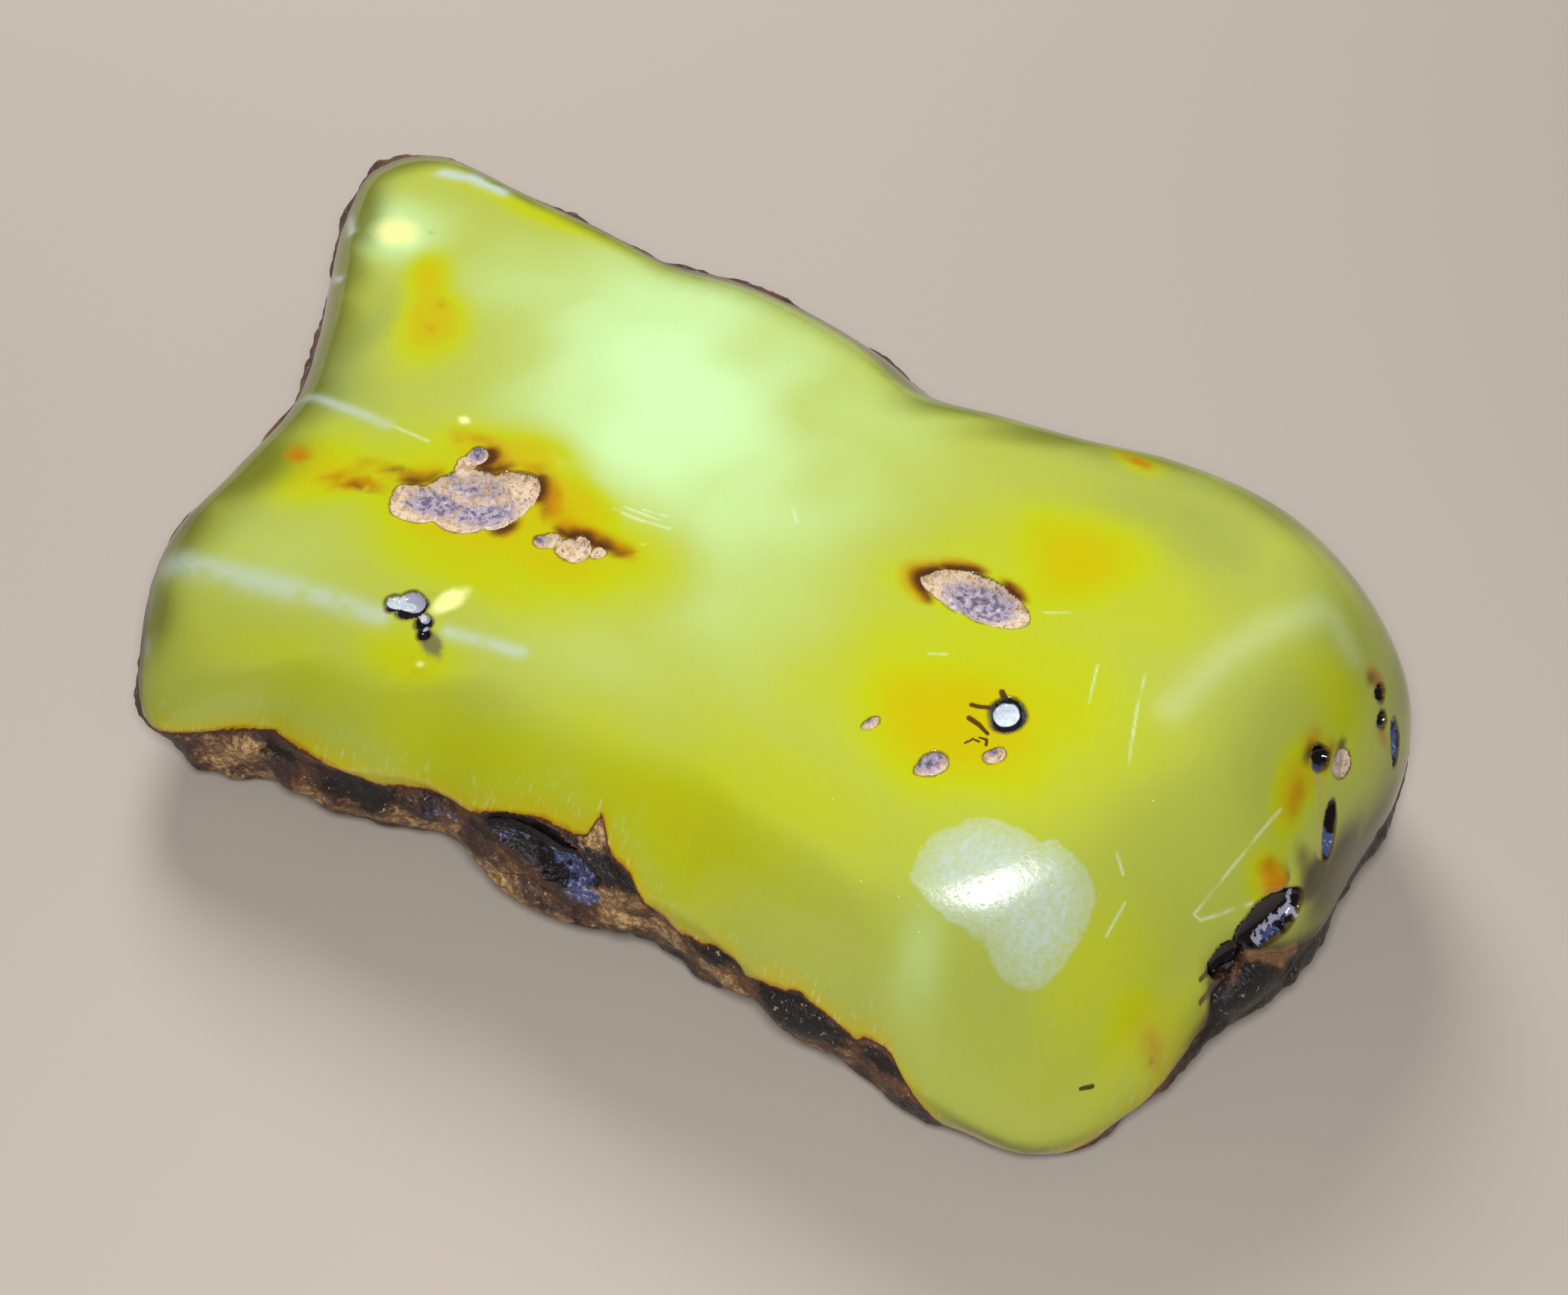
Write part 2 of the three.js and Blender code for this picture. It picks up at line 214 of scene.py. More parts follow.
# %% [markdown]
# To turn these curves into a closed surface, picture a ball whose every point knows which part of
# the lump it becomes. The cap of the ball becomes the dome, then come the rolled edge and the
# wall, and the rest becomes the underside. A ball has no seam and no end, so the mesh can be made
# finer anywhere later without a crack opening. Each point of the ball is kept as the way that it
# lies in from the middle, in the array called ways. Its compass turn gives its place along the
# outline, and its angle from straight up says how far down the lump it belongs.

# %% From a ball to the lump
DOME_END = 1.2
RIM = 1.45
FOOT = 1.9
CRUST_BULGE = 0.6
WALL_BOXINESS = 0.8


def place_of(ways):
    return np.arctan2(ways[:, 1], ways[:, 0]) / (2 * math.pi) * len(OUTLINE) % len(OUTLINE)


def share_between(angle, start, end):
    return np.clip((angle - start) / (end - start), 0, 1)


def on_lump(ways):
    place = place_of(ways)
    angle = np.arccos(np.clip(ways[:, 2], -1, 1))
    outline = outline_at(place)
    reach = np.linalg.norm(outline, axis=1)
    rim, roll, turn, tuck = edge_at(place)
    turn = np.radians(turn)

    rolled = share_between(angle, DOME_END, RIM) * turn
    inward = roll * (1 - np.sin(rolled) / np.sin(turn))
    out = (1 - inward / reach) * share_between(angle, 0, DOME_END)
    top_spot = outline * out[:, None]
    share = (np.cos(rolled) - np.cos(turn)) / (1 - np.cos(turn))
    top = rim + (crown(top_spot) - rim) * share

    down = share_between(angle, RIM, FOOT) * math.pi / 2
    inward = tuck * (1 - np.abs(np.cos(down)) ** WALL_BOXINESS)
    share = 1 - np.sin(down) ** WALL_BOXINESS
    spot = outline * (1 - inward / reach)[:, None]
    bulge = CRUST_BULGE * np.sin(2 * down) * wave(1.1 * spot[:, 0], 1.1 * spot[:, 1], 1.4 * rim * share)
    out = (1 + bulge / np.linalg.norm(spot, axis=1)) * (1 - share_between(angle, FOOT, math.pi))
    low_spot = spot * out[:, None]
    low = underside(low_spot)
    bottom = low + (rim - low) * share

    above = angle < RIM
    spot = np.where(above[:, None], top_spot, low_spot)
    return np.column_stack((spot, np.where(above, top, bottom)))


def below_rim(ways, points):
    place = place_of(ways)
    rim_points = np.column_stack((outline_at(place), edge_at(place)[0]))
    side = np.where(ways[:, 2] < math.cos(RIM), 1, -1)
    return side * np.linalg.norm(points - rim_points, axis=1)


def into_crust(ways, points):
    return below_rim(ways, points) - np.interp(place_of(ways), *CRUST_LINE.T)


straight_up = np.array([[0.0, 0.0, 1.0]])
print("top of the ball comes to lie at:", on_lump(straight_up)[0].round(2))

# %% [markdown]
# Every hollow and lump is an uneven egg. A hollow is where the surface sinks to the far side of
# the egg, and a lump is where it rises to the near side. Each one has a middle, three half sizes,
# a turn on the compass and a lean of its mouth. The last letter says what is in it: c is dry
# crust, s is a shiny bare hole, d is a dark glossy cavity, and w is only a shape in the wall.

# %% Hollows and lumps
HOLLOWS = {
    "long crusted pit, left end": ((-12.6, -4.65, 12.0), (1.7, 1.15, 0.9), 10, 0, "c"),
    "long crusted pit, middle": ((-11.0, -3.75, 12.2), (2.3, 1.75, 1.0), 25, 0, "c"),
    "long crusted pit, right end": ((-9.45, -2.95, 12.2), (1.75, 1.55, 0.9), 50, 0, "c"),
    "its neck": ((-11.9, -2.0, 12.3), (0.5, 0.6, 0.7), 0, 0, "c"),
    "its upper knob": ((-11.7, -1.3, 12.4), (0.55, 0.6, 0.7), 70, 0, "c"),
    "small crusted pit": ((-6.3, -4.05, 12.5), (0.66, 0.42, 0.6), 25, 0, "c"),
    "crusted pit beside it": ((-5.0, -3.98, 12.7), (0.82, 0.72, 0.7), 20, 0, "c"),
    "its small tail": ((-4.05, -3.75, 12.8), (0.55, 0.36, 0.4), 20, 0, "c"),
    "shiny hole": ((-9.9, -9.15, 11.1), (0.68, 0.66, 0.7), 10, 0, "s"),
    "its shallow lobe": ((-10.65, -9.3, 11.0), (0.42, 0.42, 0.3), 10, 0, "s"),
    "hole beside it": ((-8.95, -9.65, 11.2), (0.38, 0.36, 0.5), 0, 0, "s"),
    "tiny hole below it": ((-8.65, -10.1, 11.1), (0.28, 0.26, 0.35), 0, 0, "s"),
    "oval crusted pit, left": ((11.1, 1.05, 14.2), (2.05, 1.05, 0.8), 2, 0, "c"),
    "oval crusted pit, right": ((12.1, 0.98, 14.3), (1.95, 1.0, 0.9), -4, 0, "c"),
    "round shiny hole": ((15.4, -3.6, 14.0), (0.78, 0.78, 0.8), 0, 0, "s"),
    "grey pit": ((13.75, -6.95, 13.6), (0.75, 0.5, 0.5), 55, 0, "c"),
    "pinhole pit": ((10.7, -6.4, 13.6), (0.4, 0.25, 0.4), 60, 0, "c"),
    "ringed pit": ((15.8, -5.5, 13.8), (0.46, 0.34, 0.4), 40, 0, "c"),
    "end pit, dark half": ((26.7, 2.5, 11.6), (0.5, 0.55, 0.6), 0, 52, "d"),
    "end pit, brown half": ((27.5, 3.3, 10.7), (0.6, 0.7, 0.5), 0, 58, "c"),
    "end slot": ((28.1, 1.1, 9.2), (0.38, 0.6, 1.3), 113, 48, "d"),
    "far end pit, top": ((27.4, 7.3, 10.9), (0.35, 0.4, 0.5), 0, 57, "d"),
    "far end pit, middle": ((27.9, 6.6, 10.15), (0.35, 0.4, 0.5), 0, 60, "d"),
    "far end pit, long": ((28.6, 7.0, 8.65), (0.35, 0.5, 1.15), 130, 34, "d"),
    "black cavity": ((27.6, -3.4, 8.1), (1.1, 1.8, 1.1), -21, 58, "d"),
    "cavity's lower lobe": ((26.7, -5.6, 7.4), (0.8, 0.9, 0.9), -21, 58, "d"),
    "wall cavity": ((-0.1, -14.9, 6.9), (2.9, 1.6, 1.4), 0, 0, "d"),
    "wall hollow": ((-12.5, -15.5, 5.0), (2.1, 0.8, 0.7), 0, 0, "w"),
    "wall pinch": ((-9.9, -15.6, 4.2), (0.8, 0.9, 2.0), 0, 0, "w"),
    "dent below, left": ((-17.5, 3.0, 0.2), (2.6, 1.7, 1.1), 35, 0, "w"),
    "dent below, middle": ((-3.5, 6.5, 0.0), (2.0, 1.3, 0.8), 110, 0, "w"),
    "dent below, right": ((13.5, -4.5, 0.0), (2.4, 1.2, 0.8), 20, 0, "w"),
}
LUMPS = {
    "left wall lobe": ((-15.6, -14.7, 4.7), (1.9, 1.2, 1.3), 0),
    "low wall lobe": ((-13.0, -14.2, 3.3), (1.9, 1.2, 1.0), 0),
    "granular lobe": ((-6.6, -13.9, 5.2), (1.8, 0.9, 0.9), 0),
    "lip under the wall cavity": ((-0.5, -13.9, 3.0), (3.6, 1.2, 1.0), 0),
    "speckled lobe": ((3.9, -14.0, 6.3), (1.5, 1.0, 1.1), 0),
    "middle wall lobe": ((8.2, -14.0, 5.2), (1.6, 0.9, 0.9), 0),
    "smooth dark lobe": ((12.5, -14.5, 4.6), (2.3, 1.1, 1.4), 0),
    "last wall lobe": ((16.4, -14.6, 4.0), (1.3, 0.9, 0.9), 0),
    "amber bump": ((26.8, -2.3, 9.4), (0.9, 0.8, 0.8), 0),
    "crust lump on the end": ((27.0, -4.9, 5.0), (1.3, 2.4, 1.7), -20),
}
print("hollows:", len(HOLLOWS), "lumps:", len(LUMPS))

# %% [markdown]
# Cutting real eggs out of a mesh would leave hard seams and long thin faces. Here the points of the
# mesh are moved instead, so each egg only has to answer two questions: how far is it from a point
# inside the egg to its far side, and how far is a point outside it. Both become easy once the egg
# is turned, squeezed back into a ball of radius 1 and dented a little by smooth waves.

# %% Measure against an uneven egg
EGG_UNEVENNESS = 0.12


def egg_matrix(half, turn, lean=0):
    a, b = math.radians(turn), math.radians(lean)
    spin = np.array(((math.cos(a), -math.sin(a), 0), (math.sin(a), math.cos(a), 0), (0, 0, 1)))
    tip = np.array(((math.cos(b), 0, math.sin(b)), (0, 1, 0), (-math.sin(b), 0, math.cos(b))))
    return spin @ tip / np.array(half)


def in_egg(points, at, half, turn, lean=0):
    local = (points - np.array(at)) @ egg_matrix(half, turn, lean)
    seed = at[0] + 2 * at[1]
    uneven = 1 + EGG_UNEVENNESS * wave(3 * local[:, 0] + seed, 3 * local[:, 1], 3 * local[:, 2])
    return local / uneven[:, None]


def out_of_egg(points, ways, at, half, turn, lean=0):
    start = in_egg(points, at, half, turn, lean)
    step = ways @ egg_matrix(half, turn, lean)
    a = (step**2).sum(axis=1)
    b = (start * step).sum(axis=1)
    c = (start**2).sum(axis=1) - 1
    inside = c < 0
    root = np.sqrt(np.where(inside, b**2 - a * c, 0))
    return np.where(inside, (root - b) / a, 0)


def gap_to_egg(points, at, half, turn, lean=0):
    local = np.linalg.norm(in_egg(points, at, half, turn, lean), axis=1)
    away = np.linalg.norm(points - np.array(at), axis=1)
    return away * (1 - 1 / np.maximum(local, 0.05))


to_round_hole = gap_to_egg(on_lump(straight_up), *HOLLOWS["round shiny hole"][:-1])
print("from the dome's middle to the round hole in mm:", to_round_hole.round(2))

# %% [markdown]
# Years in a drawer have left a few scratches on the polish, and iron has stained some cracks dark.
# Pale streaks on the flats at the left and a sheen along the crease at the right end are painted
# reflections, and the glints at the left edges are painted too. The pits at the right end have thin
# pale lips, and a painted glint runs down a ridge beside the black cavity. Each line is a width in
# millimetres and the points that it runs through, seen from above.

# %% Scratches, streaks and cracks
LINES = {
    "scratch": [
        (0.07, (-4.6, -1.4), (-3.2, -1.45), (-1.8, -1.3)),
        (0.06, (-4.2, -1.1), (-2.4, -1.1)),
        (0.05, (-3.4, -0.9), (-2.2, -0.8)),
        (0.05, (-16.2, -1.3), (-14.2, -1.45)),
        (0.05, (14.4, 1.6), (15.7, 2.3)),
        (0.04, (17.5, 0.2), (18.0, -1.6)),
        (0.05, (19.3, 1.0), (19.8, -0.9), (20.6, -3.3)),
        (0.04, (26.3, -0.6), (25.8, -3.0), (25.1, -5.8), (25.4, -5.7), (26.8, -3.7)),
        (0.04, (11.2, -2.4), (11.9, -2.1)),
        (0.05, (21.8, -6.5), (22.3, -6.9)),
        (0.04, (22.8, -7.6), (22.7, -8.9)),
        (0.04, (2.3, 1.9), (3.0, 1.2)),
    ],
    # Painted reflections on the flats at the left of the polish.
    "reflection_streak": [
        (0.55, (-23.0, -11.0), (-18.7, -10.7), (-15.4, -10.4)),
        (0.45, (-15.4, -10.3), (-13.4, -10.2), (-10.9, -10.1)),
        (0.3, (-7.8, -9.6), (-4.3, -9.2)),
        (0.25, (-21.5, -1.1), (-16.5, -1.3)),
    ],
    # Painted sheen along the crease at the right end.
    "crease_sheen": [
        (0.7, (21.0, -0.3), (21.8, 3.0), (22.8, 5.5), (24.2, 7.6)),
        (0.6, (24.6, 7.7), (25.8, 7.2)),
    ],
    # Painted glints at the left edges.
    "glint": [
        (0.25, (-28.2, 11.3), (-27.2, 10.3), (-26.4, 9.4)),
        (0.16, (-27.3, 8.0), (-25.4, 6.6), (-24.2, 6.0)),
        (0.4, (-25.2, 15.4), (-23.6, 15.7), (-21.6, 15.4)),
        (0.35, (-22.7, -12.0), (-21.3, -14.2)),
    ],
    "crack": [
        (0.13, (13.9, -3.8), (14.2, -3.75), (14.6, -3.6)),
        (0.11, (14.1, -4.4), (14.6, -4.5), (15.1, -4.7)),
        (0.15, (14.7, -2.7), (15.1, -3.1)),
        (0.05, (14.5, -5.5), (14.7, -5.15), (15.0, -5.2)),
        (0.06, (14.9, -5.0), (15.2, -4.95), (15.3, -5.2)),
        (0.06, (23.9, -12.7), (24.3, -12.3)),
        (0.08, (26.4, -6.2), (26.2, -6.9)),
        (0.08, (26.7, -6.4), (26.5, -7.3)),
    ],
    "straw_lip": [
        (0.16, (26.5, 2.0), (27.0, 1.65), (27.4, 1.3), (27.8, 0.5), (28.1, 0.0)),
        (0.13, (27.0, 1.9), (27.6, 1.95), (28.0, 1.7)),
    ],
    # A painted glint down a ridge beside the black cavity.
    "rib_glint": [
        (0.1, (28.1, -1.8), (28.3, -2.2), (28.1, -2.8), (27.6, -4.15)),
    ],
    "tan_lip": [
        (0.14, (27.4, -4.7), (27.6, -4.5), (28.3, -3.6), (28.7, -2.7)),
    ],
}


def gap_to_line(spots, ends):
    ends = np.array(ends)
    nearest = np.full(len(spots), np.inf)
    for start, end in zip(ends, ends[1:]):
        step = end - start
        share = np.clip((spots - start) @ step / (step @ step), 0, 1)
        nearest = np.minimum(nearest, np.linalg.norm(spots - start - share[:, None] * step, axis=1))
    return nearest


print("lines:", {name: len(lines) for name, lines in LINES.items()})

# %% [markdown]
# A mesh that is fine everywhere wastes its faces on the smooth dome. Here the ball starts coarse,
# and any edge that comes out longer on the lump than that place needs is split in two, again and
# again. Edges stay under about 0.14 mm at a pit, a third of a millimetre on the rough wall and
# nearly one on the bare dome. First comes the rule that says how long an edge may be.

# %% How fine each part has to be
PIT_EDGE = 0.14
CRUST_EDGE = 0.33
DOME_EDGE = 0.9
UNDERSIDE_EDGE = 0.7
COARSER_PER_MM = 0.45
LINE_EDGE = 0.12
CRUST_MARGIN = 0.6


def wanted_edge(points, ways):
    gap = into_crust(ways, points)
    underneath = smoothstep(-ways[:, 2], -math.cos(FOOT) - 0.05, -math.cos(FOOT) + 0.3)
    wanted = CRUST_EDGE + (UNDERSIDE_EDGE - CRUST_EDGE) * underneath
    on_dome = np.minimum(CRUST_EDGE - COARSER_PER_MM * (gap + CRUST_MARGIN), DOME_EDGE)
    wanted = np.where(gap < -CRUST_MARGIN, on_dome, wanted)
    for at, half, turn, lean, kind in HOLLOWS.values():
        if kind != "w":
            near = np.maximum(gap_to_egg(points, at, half, turn, lean), 0)
            wanted = np.minimum(wanted, PIT_EDGE + COARSER_PER_MM * near)
    on_top = ways[:, 2] > math.cos(RIM)
    for lines in LINES.values():
        for width, *ends in lines:
            beside = np.maximum(gap_to_line(points[:, :2], ends) - 2 * width, 0)
            by_line = max(LINE_EDGE, width) + COARSER_PER_MM * beside
            wanted = np.where(on_top, np.minimum(wanted, by_line), wanted)
    return wanted


print("longest edge at the dome's middle in mm:", wanted_edge(on_lump(straight_up), straight_up).round(2))

# %% [markdown]
# A triangle with one, two or three long edges is cut into two, three or four. Two triangles that
# share an edge agree on it, so no gap opens between them. When no long edge is left, the ball has
# all the points that the lump needs.

# %% Split the long edges
BALL_SUBDIVISIONS = 5


def split_faces(faces, new_point):
    """Cut each triangle at its split edges; new_point[i, k] is the point on edge k, or -1."""
    made = []
    marks = new_point >= 0
    count = marks.sum(axis=1)
    made.append(faces[count == 0])
    for k in range(3):
        a, b, c = (faces[:, (k + step) % 3] for step in range(3))
        ab, bc, ca = (new_point[:, (k + step) % 3] for step in range(3))
        one = (count == 1) & (ab >= 0)
        two = (count == 2) & (ca < 0)
        made.append(np.column_stack((ab, c, a))[one])
        made.append(np.column_stack((ab, b, c))[one])
        made.append(np.column_stack((b, bc, ab))[two])
        made.append(np.column_stack((a, ab, bc))[two])
        made.append(np.column_stack((a, bc, c))[two])
    a, b, c = faces[count == 3].T
    ab, bc, ca = new_point[count == 3].T
    for corners in ((a, ab, ca), (b, bc, ab), (c, ca, bc), (ab, bc, ca)):
        made.append(np.column_stack(corners))
    return np.concatenate(made)


def refine(ways, faces):
    while True:
        points = on_lump(ways)
        corners = np.stack((faces, np.roll(faces, -1, axis=1)), axis=2)
        edges, which = np.unique(np.sort(corners.reshape(-1, 2), axis=1), axis=0, return_inverse=True)
        ends = points[edges]
        length = np.linalg.norm(ends[:, 0] - ends[:, 1], axis=1)
        middle = ways[edges].sum(axis=1)
        middle /= np.linalg.norm(middle, axis=1)[:, None]
        long_ones = length > wanted_edge(ends.mean(axis=1), middle)
        if not long_ones.any():
            return ways, faces
        number = np.full(len(edges), -1)
        number[long_ones] = len(ways) + np.arange(long_ones.sum())
        ways = np.concatenate((ways, middle[long_ones]))
        faces = split_faces(faces, number[which.reshape(-1)].reshape(-1, 3))


ball = bmesh.new()
bmesh.ops.create_icosphere(ball, subdivisions=BALL_SUBDIVISIONS, radius=1)
ways = np.array([vertex.co[:] for vertex in ball.verts])
faces = np.array([[vertex.index for vertex in face.verts] for face in ball.faces])
ball.free()
ways /= np.linalg.norm(ways, axis=1)[:, None]
ways, faces = refine(ways, faces)
print("points:", len(ways), "triangles:", len(faces))

# %% [markdown]
# Now the surface gets its relief. Each point knows its smooth place and which way the surface
# faces there. Weathered crust is rough at every size, so smooth random noise at three sizes pushes
# it in and out. The roughness fades in over the first part of a millimetre below the polish.

# %% Roughen the crust
CRUST_RELIEF = ((2.3, 0.32), (0.8, 0.16), (0.34, 0.07))  # size and height in mm
CRUST_FADE = 0.7


def facing(points, faces):
    a, b, c = (points[faces[:, k]] for k in range(3))
    across = np.cross(b - a, c - a)
    total = np.zeros_like(points)
    for k in range(3):
        np.add.at(total, faces[:, k], across)
    return total / np.linalg.norm(total, axis=1)[:, None]


def noise_at(points, size, seed=0.0):
    shift = Vector((seed, 2.3 * seed, -seed))
    return np.array([noise.noise(Vector(point) / size + shift) for point in points])


smooth_points = on_lump(ways)
normals = facing(smooth_points, faces)
crust_gap = into_crust(ways, smooth_points)
points = smooth_points.copy()
crusted = smoothstep(crust_gap, 0, CRUST_FADE)
rough = np.flatnonzero(crusted > 0)
for size, height in CRUST_RELIEF:
    push = height * crusted[rough] * noise_at(points[rough], size, seed=size)
    points[rough] += push[:, None] * normals[rough]
print("rough points:", len(rough), "of", len(points))

# %% [markdown]
# Lumps push the surface out along its own facing, and hollows push it in the same way, so nothing
# is cut. Dry crust nearly fills its pits, and those stop at a shallow grainy floor. Points that
# would lie below the table are lifted to it, because the lump rests there.

# %% Push lumps out and hollows in
HIGHEST_LUMP = 1.6
FLOOR_DEPTH = {"c": 0.4, "s": 0.55, "d": 1.3, "w": 1.2}
PIT_GRAIN = ((0.45, 0.07), (0.2, 0.04))  # size and height in mm
PIT_GRAIN_SEED = 3
PIT_FLOOR_GAP = 0.02
FAR_AWAY = 9.0

raised = np.zeros(len(points))
for at, half, turn in LUMPS.values():
    push = out_of_egg(points, normals, at, half, turn)
    push = np.minimum(push, HIGHEST_LUMP)
    points += push[:, None] * normals
    raised = np.maximum(raised, push)

sunk = np.zeros(len(points))
gaps = {kind: np.full(len(points), FAR_AWAY) for kind in FLOOR_DEPTH}
for at, half, turn, lean, kind in HOLLOWS.values():
    deep = out_of_egg(points, -normals, at, half, turn, lean)
    floor = FLOOR_DEPTH[kind]
    push = floor * (1 - np.exp(-deep / floor))
    gaps[kind] = np.minimum(gaps[kind], gap_to_egg(points, at, half, turn, lean))
    points -= push[:, None] * normals
    sunk = np.maximum(sunk, push)

grainy = np.flatnonzero((gaps["c"] < PIT_FLOOR_GAP) & (sunk > 0))
for size, height in PIT_GRAIN:
    push = height * noise_at(points[grainy], size, seed=PIT_GRAIN_SEED)
    points[grainy] += push[:, None] * normals[grainy]
points[:, 2] = np.maximum(points[:, 2], 0)
print("relief in mm, out and in:", raised.max().round(2), sunk.max().round(2))
